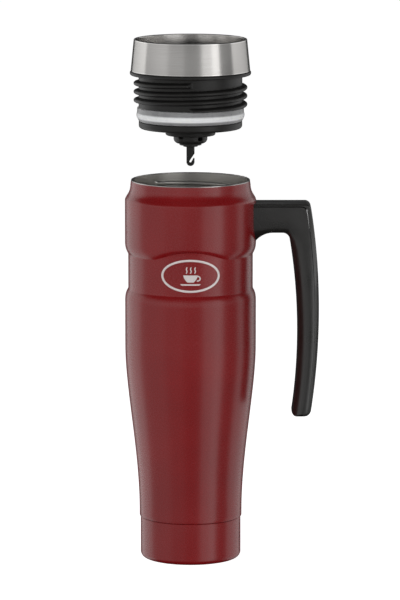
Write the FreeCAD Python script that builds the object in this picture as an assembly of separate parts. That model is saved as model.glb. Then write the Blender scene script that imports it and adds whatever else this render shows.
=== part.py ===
"""Insulated travel mug with a lift-off screw lid, in millimetres.

+Z is up and the origin is the middle of the base, where the mug stands.
The lid is drawn lifted straight above the mouth. It screws down clockwise.
"""
import FreeCAD
import Part
import math
import os

V = FreeCAD.Vector
UP = V(0, 0, 1)
AXIS = V(0, 0, 0)

# ---- driving dimensions -------------------------------------------------

# outer shell
SHEET = 0.6
BAND_R = 38.0
WAIST_R = 36.15
FOOT_R = 29.8
SEAM_Z = 24.7
TAPER_LOW_Z = 27.0
TAPER_HIGH_Z = 126.0
TAPER_LOW_PULL = 36.3
TAPER_HIGH_PULL = 27.8
LOW_STEP_Z = 152.0
LOW_STEP_H = 8.6
HIGH_STEP_Z = 177.2
HIGH_STEP_H = 8.2
LOW_STEP_PULL = 0.54
STEP_PULL = 0.46
SHOULDER_Z = 210.5
NECK_Z = 219.7
NECK_R = 34.8
SHOULDER_PULL = 3.2
NECK_PULL = 4.2
RIM_Z = 222.4
RIM_R = 34.45
LIP_Z = 221.8
ARCH_RISE = 5.3
ARCH_HALF_ANGLE = 38.0
ARCH_SECTIONS = 17
ARCH_MARGIN = 3.0
JOIN_TOLERANCE = 0.001

# base
SOCK_R = 28.5
SOCK_LOW_Z = 3.2
CUP_R = 29.2
CUP_ROUND = 3.5
CUP_TOP_Z = 24.5
GROOVE_R = 21.0
GROOVE_W = 3.0
GROOVE_DEPTH = 0.8
BASE_DISC_Z = 3.4
BASE_DISC_T = 1.0
DIMPLE_H = 2.0
DIMPLE_R = 8.6
DIMPLE_BEND = 0.4
SEAL_R = 3.2
SEAL_T = 0.9
GETTER_R = 4.0
GETTER_H = 1.5
GETTER_X = 15.0

# liner, measured on its inside
LINER_T = 0.6
MOUTH_R = 33.2
LEDGE_R = 31.64
CAVITY_R = 32.0
FLOOR_R = 24.2
FLOOR_Z = 10.0
FLOOR_ROUND = 9.0
LEDGE_TOP_Z = 201.8
LEDGE_STEP_H = 1.6
LEDGE_LOW_Z = 192.8

# screw thread
PITCH = 4.9
MALE_TURNS = 3.0
MALE_ROOT_R = 29.95
MALE_CREST_R = 32.85
MALE_HALF_W = 1.65
FLANK_PULL = 1.9
CREST_PULL = 0.9
FEMALE_TURNS = 1.6
FEMALE_DROP_TURNS = 11.5
FEMALE_CREST_R = 31.8
FEMALE_HALF_W = 1.15
FEMALE_CREST_HALF_W = 0.5

# lid, heights above the underside of its flange
TRAVEL = 60.5
SEAT_GAP = 0.3
LID_Z = RIM_Z + SEAT_GAP + TRAVEL
FLANGE_R = 35.0
FLANGE_H = 2.4
FLANGE_ROUND = 0.9
COLLAR_H = 20.8
COLLAR_LOW_R = 34.5
COLLAR_TOP_R = 32.6
COLLAR_IN_R = 31.4
COLLAR_T = 0.6
ROLL_MARGIN = 0.02
DECK_TOP = 7.0
DECK_T = 2.0
VENT_R = 1.2
VENT_XY = (15.0, 20.0)
DUCT_X = -9.5
DUCT_HALF_L = 17.5
DUCT_HALF_W = 8.2
DUCT_T = 1.2
SHOULDER_LOW = -18.5
THREAD_START = -18.25
GASKET_R = 31.34
GASKET_IN_R = 28.9
GASKET_TOP = -18.8
GASKET_LOW = -26.5
SEAT_R = 28.6
GASKET_BAND_R = 30.84
GASKET_FOOT_R = 29.7
GASKET_LIP = (3.0, 4.0)
GASKET_LIP_END = 5.6
CAP_R = 29.9
CAP_TOP = -26.8
CAP_LOW = -30.9
STOPPER_BORE_R = 27.2
STOPPER_FLOOR = -24.8
CAP_ROUND = 1.6
CAP_T = 2.0
CAP_WALL_R = 27.6
PORT_WALL_R = 6.4
PORT_R = 5.0

# valve and cage
CAGE_R = 14.5
CAGE_STEP = -34.9
BOWL_R = 9.8
BOWL_LOW = -37.2
BOWL_FLOOR_R = 6.4
BOWL_FLOOR = -39.7
CAGE_LOW = -40.7
BUTTON_R = 4.2
BUTTON_LOW = -41.6
CAGE_BORE_R = 8.6
CAGE_FLOOR = -40.2
CAGE_PORTS = 5
CAGE_PORT_TURN = 90
CAGE_PORT_HALF_W = 1.7
CAGE_PORT_LOW = -37.6
CAGE_PORT_TOP = -35.5
STEM_R = 1.6
STEM_GAP = 0.1
STEM_TOP = 12.0
VALVE_TOP = -31.2
VALVE_MID = -33.0
VALVE_LOW = -34.2
VALVE_HEAD_R = 6.4
VALVE_SEAL_R = 7.0
SPRING_R = 3.6
SPRING_WIRE_R = 0.35
SPRING_TURNS = 4.0
SPRING_GAP = 0.03

# press lever
PIN_X = -10.0
PIN_Z = 11.5
PIN_R = 1.2
PIN_CLEARANCE = 0.05
LEVER_HALF_W = 6.0
EAR_GAP = 0.4
EAR_T = 2.0
EAR_HALF_L = 3.0
LUG_R = 2.5
LUG_Z = 14.8
LUG_HALF_W = 3.0
SLOT_X = -22.0
SLOT_HALF_X = 3.0
SLOT_HALF_Y = 6.5
PLUG_MARGIN = 0.9
PLUG_GAP = 0.3
PLUG_TOP = 9.6

# tea hook
HOOK_HALF_W = 2.35
HOOK_HALF_T = 1.6
HOOK_LOW = -52.9
HOOK_EYE_R = 0.65
HOOK_EYE_Z = 2.5
HOOK_BOSS_R = 3.2
HOOK_BOSS_H = 0.6

# handle
HANDLE_HALF_W = 10.9
ARM_TOP_Z = 209.1
ARM_LOW_Z = 192.2
ARM_ROOT_X = 35.0
OUTER_ARC_R = 392.0
OUTER_APEX = (74.45, 146.3)
INNER_ARC_R = 328.0
INNER_APEX = (62.03, 133.5)
FLARE_R = 12.0
FLARE_X = 47.5
TIP_Z = 84.3
OUTER_TOP_ROUND = 4.8
OUTER_TIP_ROUND = 4.6
INNER_TIP_ROUND = 4.2
INNER_TOP_ROUND = 4.5
GRIP_ROUND = 3.6
SPINE_T = 2.3
SPINE_TOP_T = 1.3
SPINE_LOW_Z = 196.0
SPINE_X = 64.0
BRACKET_T = 1.2
BRACKET_HALF_W = 8.0
BRACKET_LOW_Z = 193.6
BRACKET_TOP_Z = 205.6
TONGUE_HALF_W = 5.0
TONGUE_END_X = 57.5
TONGUE_Z = 199.0
TONGUE_T = 2.5
SCREW_XS = (46.8, 53.4)
SCREW_R = 1.5
SCREW_HEAD_R = 2.6
SCREW_HEAD_H = 1.8
SCREW_HEAD_Z = 194.2
SOCKET_R = 1.3
SOCKET_DEPTH = 1.1

# badge
BADGE_Z = 171.0
BADGE_HALF_W = 17.3
BADGE_HALF_H = 9.6
BADGE_STROKE = 1.3
BADGE_T = 0.4
WISP_XS = (-2.4, 0.0, 2.4)
WISP_H = 3.6
WISP_W = 0.6
WISP_LEAN = 0.5
WISP_PULL = 1.6


# ---- helpers ------------------------------------------------------------

def at(x, z):
    """A point of a section, in the XZ plane."""
    return V(x, 0, z)


def line(a, b):
    return Part.LineSegment(at(*a), at(*b)).toShape()


def arc(a, b, c):
    return Part.Arc(at(*a), at(*b), at(*c)).toShape()


def s_curve(a, b, pull_a, pull_b):
    """Curve from a to b that leaves and arrives along Z."""
    side = 1 if b[1] > a[1] else -1
    curve = Part.BezierCurve()
    curve.setPoles([at(*a), at(a[0], a[1] + side * pull_a), at(b[0], b[1] - side * pull_b), at(*b)])
    return curve.toShape()


def face(edges):
    return Part.Face(Part.Wire(edges))


def polygon(points):
    return Part.Face(Part.makePolygon([at(*p) for p in points + points[:1]]))


def turned(section):
    """Solid of revolution about Z of a section face."""
    return section.revolve(AXIS, UP, 360)


def ring(r_in, r_out, z_low, z_high):
    return turned(polygon([(r_in, z_low), (r_out, z_low), (r_out, z_high), (r_in, z_high)]))


def rod(radius, z_low, z_high, x=0.0, y=0.0):
    return Part.makeCylinder(radius, z_high - z_low, V(x, y, z_low))


def cross_rod(radius, x, z, half_width):
    """Cylinder along Y, centred on the XZ plane."""
    return Part.makeCylinder(radius, 2 * half_width, V(x, -half_width, z), V(0, 1, 0))


def box(low, high):
    size = [b - a for a, b in zip(low, high)]
    return Part.makeBox(*size, V(*low))


def slab(section, half_width):
    """Extrude a section of the XZ plane to both sides of it."""
    solid = section.extrude(V(0, 2 * half_width, 0))
    solid.translate(V(0, -half_width, 0))
    return solid


def stadium(half_x, half_y, z_low, z_high, x=0.0):
    """Upright prism with round ends in X."""
    straight = half_x - half_y
    core = box((x - straight, -half_y, z_low), (x + straight, half_y, z_high))
    ends = [rod(half_y, z_low, z_high, x - straight), rod(half_y, z_low, z_high, x + straight)]
    return core.multiFuse(ends).removeSplitter()


def lifted(shape):
    """Move a lid piece from flange heights to its place above the mug."""
    return shape.translated(V(0, 0, LID_Z))


def sweep_ridge(profile, radius, start_z, turns, start_angle):
    """Ridge swept along a right-handed helix; its section is given in the XZ plane."""
    helix = Part.makeHelix(PITCH, PITCH * turns, radius)
    sweep = Part.BRepOffsetAPI.MakePipeShell(helix)
    sweep.setFrenetMode(True)
    sweep.add(profile)
    sweep.build()
    sweep.makeSolid()
    ridge = sweep.shape()
    ridge.rotate(AXIS, UP, start_angle)
    ridge.translate(V(0, 0, start_z))
    return ridge


# ---- mug body -----------------------------------------------------------

def shell_line(inset):
    """Open outer outline of the shell, foot to rim, moved inwards by inset."""
    foot = FOOT_R - inset
    sock = SOCK_R - inset
    step_z = SEAM_Z + inset
    band = BAND_R - inset
    waist = WAIST_R - inset
    neck = NECK_R - inset
    rim = RIM_R - inset
    waist_low = LOW_STEP_Z + LOW_STEP_H
    band_low = HIGH_STEP_Z + HIGH_STEP_H
    pull_low = LOW_STEP_PULL * LOW_STEP_H
    pull_high = STEP_PULL * HIGH_STEP_H
    return [
        line((sock, SOCK_LOW_Z), (sock, step_z)),
        line((sock, step_z), (foot, step_z)),
        line((foot, step_z), (foot, TAPER_LOW_Z)),
        s_curve((foot, TAPER_LOW_Z), (band, TAPER_HIGH_Z), TAPER_LOW_PULL, TAPER_HIGH_PULL),
        line((band, TAPER_HIGH_Z), (band, LOW_STEP_Z)),
        s_curve((band, LOW_STEP_Z), (waist, waist_low), pull_low, pull_low),
        line((waist, waist_low), (waist, HIGH_STEP_Z)),
        s_curve((waist, HIGH_STEP_Z), (band, band_low), pull_high, pull_high),
        line((band, band_low), (band, SHOULDER_Z)),
        s_curve((band, SHOULDER_Z), (neck, NECK_Z), SHOULDER_PULL, NECK_PULL),
        line((neck, NECK_Z), (rim, LIP_Z)),
    ]


def arch_section(angle):
    """Shell wall section at an angle from the front, with its step raised by the arch."""
    rise = ARCH_RISE * math.cos(math.radians(90 * angle / ARCH_HALF_ANGLE)) ** 2
    low = HIGH_STEP_Z - ARCH_MARGIN
    high = HIGH_STEP_Z + HIGH_STEP_H + ARCH_RISE + ARCH_MARGIN
    start = HIGH_STEP_Z + rise
    end = start + HIGH_STEP_H
    pull = STEP_PULL * HIGH_STEP_H
    outer = [line((WAIST_R, low), (WAIST_R, start)),
             s_curve((WAIST_R, start), (BAND_R, end), pull, pull),
             line((BAND_R, end), (BAND_R, high))]
    inner = [line((BAND_R - SHEET, high), (BAND_R - SHEET, end)),
             s_curve((BAND_R - SHEET, end), (WAIST_R - SHEET, start), pull, pull),
             line((WAIST_R - SHEET, start), (WAIST_R - SHEET, low))]
    caps = [line((BAND_R, high), (BAND_R - SHEET, high)),
            line((WAIST_R - SHEET, low), (WAIST_R, low))]
    wire = Part.Wire(outer + caps[:1] + inner + caps[1:])
    wire.rotate(AXIS, UP, angle - 90)
    return wire


def outer_shell():
    outer = shell_line(0.0)
    inner = shell_line(SHEET)
    caps = [line((RIM_R, LIP_Z), (RIM_R - SHEET, LIP_Z)),
            line((SOCK_R, SOCK_LOW_Z), (SOCK_R - SHEET, SOCK_LOW_Z))]
    shell = turned(face(Part.__sortEdges__(outer + inner + caps)))
    low = HIGH_STEP_Z - ARCH_MARGIN
    high = HIGH_STEP_Z + HIGH_STEP_H + ARCH_RISE + ARCH_MARGIN
    window = polygon([(WAIST_R - 5, low), (BAND_R + 5, low), (BAND_R + 5, high), (WAIST_R - 5, high)])
    window.rotate(AXIS, UP, -90 - ARCH_HALF_ANGLE)
    shell = shell.cut(window.revolve(AXIS, UP, 2 * ARCH_HALF_ANGLE))
    step = 2 * ARCH_HALF_ANGLE / (ARCH_SECTIONS - 1)
    sections = [arch_section(step * i - ARCH_HALF_ANGLE) for i in range(ARCH_SECTIONS)]
    patch = Part.makeLoft(sections, True, False)
    return shell.fuse([patch], JOIN_TOLERANCE)


def base_cup():
    """Painted cup over the foot, with one ring groove pressed in its flat bottom."""
    z_in = CUP_ROUND
    flat_r = CUP_R - CUP_ROUND
    k = CUP_ROUND * (1 - math.sqrt(0.5))
    inner_round = CUP_ROUND - SHEET
    k_in = inner_round * (1 - math.sqrt(0.5))
    groove = GROOVE_R
    half = GROOVE_W / 2
    depth = GROOVE_DEPTH
    return turned(face([
        line((groove + half, 0), (flat_r, 0)),
        arc((flat_r, 0), (CUP_R - k, k), (CUP_R, z_in)),
        line((CUP_R, z_in), (CUP_R, CUP_TOP_Z)),
        line((CUP_R, CUP_TOP_Z), (CUP_R - SHEET, CUP_TOP_Z)),
        line((CUP_R - SHEET, CUP_TOP_Z), (CUP_R - SHEET, z_in)),
        arc((CUP_R - SHEET, z_in), (CUP_R - SHEET - k_in, SHEET + k_in), (flat_r, SHEET)),
        line((flat_r, SHEET), (groove + half, SHEET)),
        line((groove + half, SHEET), (groove + half - depth, SHEET + depth)),
        line((groove + half - depth, SHEET + depth), (groove - half + depth, SHEET + depth)),
        line((groove - half + depth, SHEET + depth), (groove - half, SHEET)),
        line((groove - half, SHEET), (0, SHEET)),
        line((0, SHEET), (0, 0)),
        line((0, 0), (groove - half, 0)),
        line((groove - half, 0), (groove - half + depth, depth)),
        line((groove - half + depth, depth), (groove + half - depth, depth)),
        line((groove + half - depth, depth), (groove + half, 0)),
    ]))


def base_disc():
    """Bottom of the vacuum jacket, dimpled at its middle round the pump-out hole."""
    r = SOCK_R - SHEET
    low = BASE_DISC_Z
    high = BASE_DISC_Z + BASE_DISC_T
    hole = SEAL_R - 2
    edge = DIMPLE_R + DIMPLE_BEND
    return turned(polygon([
        (hole, low + DIMPLE_H), (DIMPLE_R, low + DIMPLE_H), (DIMPLE_R + DIMPLE_H, low), (r, low),
        (r, high), (edge + DIMPLE_H, high), (edge, high + DIMPLE_H), (hole, high + DIMPLE_H),
    ]))


def evacuation_seal():
    """Solder plug that closes the pump-out hole from below."""
    return rod(SEAL_R, BASE_DISC_Z + DIMPLE_H - SEAL_T, BASE_DISC_Z + DIMPLE_H)


def liner_line(offset):
    """Liner outline from the middle of its floor to the rim, moved outwards by offset."""
    cavity = CAVITY_R + offset
    floor_r = FLOOR_R + offset
    ledge = LEDGE_R + offset
    mouth = MOUTH_R + offset
    ledge_end = LEDGE_TOP_Z + LEDGE_STEP_H
    floor = FLOOR_Z - offset
    corner = FLOOR_ROUND + offset
    k = corner * (1 - math.sqrt(0.5))
    return [
        line((0, floor), (floor_r - corner, floor)),
        arc((floor_r - corner, floor), (floor_r - k, floor + k), (floor_r, floor + corner)),
        s_curve((floor_r, floor + corner), (cavity, TAPER_HIGH_Z), TAPER_LOW_PULL, TAPER_HIGH_PULL),
        line((cavity, TAPER_HIGH_Z), (cavity, LEDGE_LOW_Z - 3)),
        s_curve((cavity, LEDGE_LOW_Z - 3), (ledge, LEDGE_LOW_Z), 1.2, 1.2),
        line((ledge, LEDGE_LOW_Z), (ledge, LEDGE_TOP_Z)),
        s_curve((ledge, LEDGE_TOP_Z), (mouth, ledge_end), 0.6, 0.6),
        line((mouth, ledge_end), (mouth, LIP_Z)),
    ]


def female_ridge():
    """Thread rolled into the mouth, half a pitch out of step with the lid's own ridge."""
    crest = FEMALE_CREST_R
    root = MOUTH_R + 0.2
    points = [(root, -FEMALE_HALF_W), (crest, -FEMALE_CREST_HALF_W),
              (crest, FEMALE_CREST_HALF_W), (root, FEMALE_HALF_W)]
    profile = Part.makePolygon([at(*p) for p in points + points[:1]])
    start = LID_Z + THREAD_START - FEMALE_DROP_TURNS * PITCH
    return sweep_ridge(profile, MOUTH_R, start, FEMALE_TURNS, -90)


def inner_liner():
    outer = liner_line(LINER_T)
    inner = liner_line(0.0)
    caps = [line((MOUTH_R, LIP_Z), (MOUTH_R + LINER_T, LIP_Z)),
            line((0, FLOOR_Z), (0, FLOOR_Z - LINER_T))]
    wall = turned(face(Part.__sortEdges__(outer + inner + caps)))
    return wall.fuse(female_ridge())


def rim_lip():
    """Bead of bare weld metal that joins the two walls round the mouth."""
    middle = (MOUTH_R + RIM_R) / 2
    shoulder = RIM_Z - 0.35
    return turned(face([
        line((MOUTH_R, LIP_Z), (RIM_R, LIP_Z)),
        line((RIM_R, LIP_Z), (RIM_R, shoulder)),
        arc((RIM_R, shoulder), (middle, RIM_Z), (MOUTH_R, shoulder)),
        line((MOUTH_R, shoulder), (MOUTH_R, LIP_Z)),
    ]))


def getter():
    """Capsule on the base disc, inside the vacuum jacket."""
    low = BASE_DISC_Z + BASE_DISC_T
    return rod(GETTER_R, low, low + GETTER_H, GETTER_X)


# ---- handle -------------------------------------------------------------

def arc_x(apex, radius, z):
    """X of a tall arc that bulges towards +X, at height z."""
    return apex[0] - radius + math.sqrt(radius ** 2 - (z - apex[1]) ** 2)


def handle_blank(half_width):
    """Handle block with its four corners rounded in side view."""
    outer = [(arc_x(OUTER_APEX, OUTER_ARC_R, z), z) for z in (ARM_TOP_Z, OUTER_APEX[1], TIP_Z)]
    inner = [(arc_x(INNER_APEX, INNER_ARC_R, z), z) for z in (TIP_Z, INNER_APEX[1], ARM_LOW_Z)]
    flare_z = ARM_LOW_Z - FLARE_R
    root_z = flare_z + math.sqrt(FLARE_R ** 2 - (FLARE_X - ARM_ROOT_X - 0.6) ** 2)
    mid_x = FLARE_X - FLARE_R * math.sin(math.radians(35))
    mid_z = flare_z + FLARE_R * math.cos(math.radians(35))
    root = (ARM_ROOT_X + 0.6, root_z)
    outline = face([
        line((ARM_ROOT_X, ARM_TOP_Z), outer[0]),
        arc(*outer),
        line(outer[2], inner[0]),
        arc(*inner),
        line(inner[2], (FLARE_X, ARM_LOW_Z)),
        arc((FLARE_X, ARM_LOW_Z), (mid_x, mid_z), root),
        line(root, (ARM_ROOT_X, root_z)),
        line((ARM_ROOT_X, root_z), (ARM_ROOT_X, ARM_TOP_Z)),
    ])
    blank = slab(outline, half_width)
    corners = ((outer[0], OUTER_TOP_ROUND), (outer[2], OUTER_TIP_ROUND),
               (inner[0], INNER_TIP_ROUND), (inner[2], INNER_TOP_ROUND))
    for corner, radius in corners:
        blank = blank.makeFillet(radius, edges_at(blank, corner))
    return blank


def edges_at(solid, corner):
    """Edges along Y that pass through a point of the XZ section."""
    found = []
    for edge in solid.Edges:
        ends = [v.Point for v in edge.Vertexes]
        if all(abs(p.x - corner[0]) + abs(p.z - corner[1]) < 0.01 for p in ends):
            found.append(edge)
    return found


def grip_edges(solid):
    """Long edges round both sides of the handle, apart from its root."""
    found = []
    for edge in solid.Edges:
        span = edge.BoundBox
        flat = span.YLength < 0.01
        if flat and abs(abs(span.YMin) - HANDLE_HALF_W) < 0.01 and span.XMax > ARM_ROOT_X + 1:
            found.append(edge)
    return found


def handle_solid():
    blank = handle_blank(HANDLE_HALF_W)
    blank = blank.makeFillet(GRIP_ROUND, grip_edges(blank))
    return blank.cut(rod(BAND_R, 150, 230))


def handle_bracket():
    foot = ring(BAND_R, BAND_R + BRACKET_T, BRACKET_LOW_Z, BRACKET_TOP_Z)
    foot = foot.common(box((30, -BRACKET_HALF_W, 190), (45, BRACKET_HALF_W, 210)))
    tongue = box((BAND_R, -TONGUE_HALF_W, TONGUE_Z), (TONGUE_END_X, TONGUE_HALF_W, TONGUE_Z + TONGUE_T))
    tongue = tongue.cut(rod(BAND_R + BRACKET_T / 2, BRACKET_LOW_Z, BRACKET_TOP_Z))
    bracket = foot.fuse(tongue).removeSplitter()
    holes = [rod(SCREW_R, TONGUE_Z - 1, TONGUE_Z + TONGUE_T + 1, x) for x in SCREW_XS]
    return bracket.cut(Part.makeCompound(holes))


def handle_screws():
    screws = []
    for x in SCREW_XS:
        head = rod(SCREW_HEAD_R, SCREW_HEAD_Z, SCREW_HEAD_Z + SCREW_HEAD_H, x)
        socket = hex_prism(SOCKET_R, SCREW_HEAD_Z - 1, SCREW_HEAD_Z + SOCKET_DEPTH, x)
        shank = rod(SCREW_R, SCREW_HEAD_Z + SCREW_HEAD_H, TONGUE_Z + TONGUE_T, x)
        screws.append(head.fuse(shank).cut(socket))
    return Part.makeCompound(screws)


def hex_prism(radius, z_low, z_high, x):
    points = [V(x + radius * math.cos(math.radians(60 * i)),
                radius * math.sin(math.radians(60 * i)), z_low) for i in range(6)]
    return Part.Face(Part.makePolygon(points + points[:1])).extrude(V(0, 0, z_high - z_low))


def spine_region():
    """Everything over the arm and outside the seam between handle body and spine cover."""
    inner = handle_blank(25).translated(V(-SPINE_T, 0, -SPINE_TOP_T))
    above = box((ARM_ROOT_X - 5, -20, SPINE_LOW_Z), (90, 20, 220))
    beside = box((SPINE_X, -20, 70), (90, 20, 220))
    return above.fuse(beside).cut(inner)


def handle_pieces():
    solid = handle_solid()
    region = spine_region()
    cover = solid.common(region)
    holes = []
    for x in SCREW_XS:
        holes.append(rod(SCREW_HEAD_R + 0.3, 180, SCREW_HEAD_Z, x))
        holes.append(rod(SCREW_HEAD_R, SCREW_HEAD_Z, SCREW_HEAD_Z + SCREW_HEAD_H, x))
        holes.append(rod(SCREW_R, SCREW_HEAD_Z, TONGUE_Z + TONGUE_T, x))
    body = solid.cut(region)
    for hole in holes:
        body = body.cut(hole)
    return body.cut(handle_bracket()), cover


# ---- badge --------------------------------------------------------------

def on_waist(section):
    """Raise a flat drawing, given in the XZ plane, from the front of the waist."""
    stamp = section.extrude(V(0, -50, 0))
    return stamp.common(ring(WAIST_R, WAIST_R + BADGE_T, BADGE_Z - 20, BADGE_Z + 20))


def ellipse_face(half_w, half_h):
    curve = Part.Ellipse(V(half_w, 0, 0), V(0, half_h, 0), V(0, 0, 0)).toShape()
    flat = Part.Face(Part.Wire(curve))
    flat.rotate(AXIS, V(1, 0, 0), 90)
    return flat.translated(V(0, 0, BADGE_Z))


def badge_outline():
    outer = ellipse_face(BADGE_HALF_W, BADGE_HALF_H)
    inner = ellipse_face(BADGE_HALF_W - BADGE_STROKE, BADGE_HALF_H - BADGE_STROKE)
    return on_waist(outer.cut(inner))


def badge_icon():
    """Plain cup on a saucer with three wisps of steam."""
    z = BADGE_Z - 4.6
    cup = face([line((-4.2, z + 5.2), (4.2, z + 5.2)),
                arc((4.2, z + 5.2), (3.2, z + 1.9), (1.4, z + 0.9)),
                line((1.4, z + 0.9), (-1.4, z + 0.9)),
                arc((-1.4, z + 0.9), (-3.2, z + 1.9), (-4.2, z + 5.2))])
    saucer = polygon([(-5.2, z - 0.9), (5.2, z - 0.9), (5.8, z + 0.1), (-5.8, z + 0.1)])
    ear = face([line((4.2, z + 4.6), (4.5, z + 4.6)),
                arc((4.5, z + 4.6), (6.1, z + 3.2), (4.1, z + 1.8)),
                line((4.1, z + 1.8), (3.9, z + 2.5)),
                arc((3.9, z + 2.5), (5.2, z + 3.2), (4.2, z + 3.9)),
                line((4.2, z + 3.9), (4.2, z + 4.6))])
    pieces = [on_waist(cup), on_waist(saucer), on_waist(ear)]
    low = z + 6.2
    high = low + WISP_H
    for x in WISP_XS:
        left = x - 0.35
        right = left + WISP_W
        wisp = face([s_curve((left, low), (left + WISP_LEAN, high), WISP_PULL, WISP_PULL),
                     line((left + WISP_LEAN, high), (right + WISP_LEAN, high)),
                     s_curve((right + WISP_LEAN, high), (right, low), WISP_PULL, WISP_PULL),
                     line((right, low), (left, low))])
        pieces.append(on_waist(wisp))
    return Part.makeCompound(pieces)


# ---- lid ----------------------------------------------------------------

def male_ridge():
    """Rounded thread ridge of the stopper."""
    crest = MALE_CREST_R
    root = MALE_ROOT_R - 0.3
    half = MALE_HALF_W
    profile = Part.Wire([
        line((root, half), (root, -half)),
        flank(root, crest, -half),
        flank(root, crest, half),
    ])
    ridge = sweep_ridge(profile, MALE_ROOT_R, THREAD_START, MALE_TURNS, -90)
    return ridge.common(rod(40, SHOULDER_LOW, 0))


def flank(root, crest, offset):
    """One side of the ridge: it leaves the stopper wall square and rounds over to the crest."""
    curve = Part.BezierCurve()
    bend = math.copysign(CREST_PULL, offset)
    curve.setPoles([at(root, offset), at(root + FLANK_PULL, offset), at(crest, bend), at(crest, 0)])
    return curve.toShape()


def stopper_body():
    round_r = FLANGE_ROUND
    k = round_r * (1 - math.sqrt(0.5))
    core = turned(face([
        line((STOPPER_BORE_R, STOPPER_FLOOR), (STOPPER_BORE_R, DECK_TOP - DECK_T)),
        line((STOPPER_BORE_R, DECK_TOP - DECK_T), (COLLAR_IN_R - 0.1, DECK_TOP - DECK_T)),
        line((COLLAR_IN_R - 0.1, DECK_TOP - DECK_T), (COLLAR_IN_R - 0.1, FLANGE_H)),
        line((COLLAR_IN_R - 0.1, FLANGE_H), (FLANGE_R - round_r, FLANGE_H)),
        arc((FLANGE_R - round_r, FLANGE_H), (FLANGE_R - k, FLANGE_H - k), (FLANGE_R, FLANGE_H - round_r)),
        line((FLANGE_R, FLANGE_H - round_r), (FLANGE_R, round_r)),
        arc((FLANGE_R, round_r), (FLANGE_R - k, k), (FLANGE_R - round_r, 0)),
        line((FLANGE_R - round_r, 0), (MALE_ROOT_R, 0)),
        line((MALE_ROOT_R, 0), (MALE_ROOT_R, SHOULDER_LOW)),
        line((MALE_ROOT_R, SHOULDER_LOW), (SEAT_R, SHOULDER_LOW)),
        line((SEAT_R, SHOULDER_LOW), (SEAT_R, CAP_TOP)),
        line((SEAT_R, CAP_TOP), (PORT_R, CAP_TOP)),
        line((PORT_R, CAP_TOP), (PORT_R, STOPPER_FLOOR)),
        line((PORT_R, STOPPER_FLOOR), (STOPPER_BORE_R, STOPPER_FLOOR)),
    ]))
    return core.fuse(male_ridge())


def lid_collar():
    """Folded sheet collar: tapered outside, straight inside, with a rolled top edge."""
    outer_k = (COLLAR_LOW_R - COLLAR_TOP_R) / (COLLAR_H - FLANGE_H)
    roll = (COLLAR_TOP_R - COLLAR_IN_R) / 2 + ROLL_MARGIN
    top = COLLAR_H - roll
    outer_x = COLLAR_LOW_R - outer_k * (top - FLANGE_H)
    middle = (outer_x + COLLAR_IN_R) / 2
    skirt = DECK_TOP - DECK_T
    roof = top - 0.4
    return turned(face([
        line((COLLAR_LOW_R, FLANGE_H), (outer_x, top)),
        arc((outer_x, top), (middle, COLLAR_H), (COLLAR_IN_R, top)),
        line((COLLAR_IN_R, top), (COLLAR_IN_R, skirt)),
        line((COLLAR_IN_R, skirt), (COLLAR_IN_R + COLLAR_T, skirt)),
        line((COLLAR_IN_R + COLLAR_T, skirt), (COLLAR_IN_R + COLLAR_T, roof)),
        line((COLLAR_IN_R + COLLAR_T, roof), (COLLAR_LOW_R - COLLAR_T, FLANGE_H)),
        line((COLLAR_LOW_R - COLLAR_T, FLANGE_H), (COLLAR_LOW_R, FLANGE_H)),
    ]))


def drink_slot(half_growth, z_low, z_high):
    """Upright prism of the drinking slot, round-ended in Y."""
    slot = stadium(SLOT_HALF_Y + half_growth, SLOT_HALF_X + half_growth, z_low, z_high)
    slot.rotate(AXIS, UP, 90)
    return slot.translated(V(SLOT_X, 0, 0))


def lid_deck():
    deck = rod(COLLAR_IN_R, DECK_TOP - DECK_T, DECK_TOP)
    ears = []
    for side in (-1, 1):
        y_in = side * (LEVER_HALF_W + EAR_GAP)
        y_out = side * (LEVER_HALF_W + EAR_GAP + EAR_T)
        low, high = sorted((y_in, y_out))
        ears.append(box((PIN_X - EAR_HALF_L, low, DECK_TOP - 0.5), (PIN_X + EAR_HALF_L, high, PIN_Z)))
        ears.append(Part.makeCylinder(EAR_HALF_L, EAR_T, V(PIN_X, low, PIN_Z), V(0, 1, 0)))
    deck = deck.multiFuse(ears).removeSplitter()
    openings = [drink_slot(0, 0, 10), rod(STEM_R + STEM_GAP, 0, 10), rod(VENT_R, 0, 10, *VENT_XY),
                cross_rod(PIN_R, PIN_X, PIN_Z, 20)]
    return deck.cut(Part.makeCompound(openings))


def duct(inset, z_low, z_high):
    return stadium(DUCT_HALF_L - inset, DUCT_HALF_W - inset, z_low, z_high, DUCT_X)


def drink_channel():
    """Duct from the valve port up to the drinking slot."""
    top = DECK_TOP - DECK_T
    return duct(0, STOPPER_FLOOR, top).cut(duct(DUCT_T, STOPPER_FLOOR - 1, top + 1))


def lid_insulation():
    top = DECK_TOP - DECK_T
    return rod(STOPPER_BORE_R, STOPPER_FLOOR, top).cut(duct(0, STOPPER_FLOOR - 1, top + 1))


def main_gasket():
    """Seal ring with a bulged lip below a plain band."""
    low = GASKET_LOW
    top = GASKET_TOP
    lip_low = low + GASKET_LIP[0]
    lip_top = low + GASKET_LIP[1]
    lip_end = low + GASKET_LIP_END
    mid_low = (GASKET_R - 0.25, (low + lip_low) / 2 + 0.1)
    mid_top = ((GASKET_R + GASKET_BAND_R) / 2, (lip_top + lip_end) / 2 + 0.1)
    return turned(face([
        line((GASKET_IN_R, low), (GASKET_FOOT_R, low)),
        arc((GASKET_FOOT_R, low), mid_low, (GASKET_R, lip_low)),
        line((GASKET_R, lip_low), (GASKET_R, lip_top)),
        arc((GASKET_R, lip_top), mid_top, (GASKET_BAND_R, lip_end)),
        line((GASKET_BAND_R, lip_end), (GASKET_BAND_R, top)),
        line((GASKET_BAND_R, top), (GASKET_IN_R, top)),
        line((GASKET_IN_R, top), (GASKET_IN_R, low)),
    ]))


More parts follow.
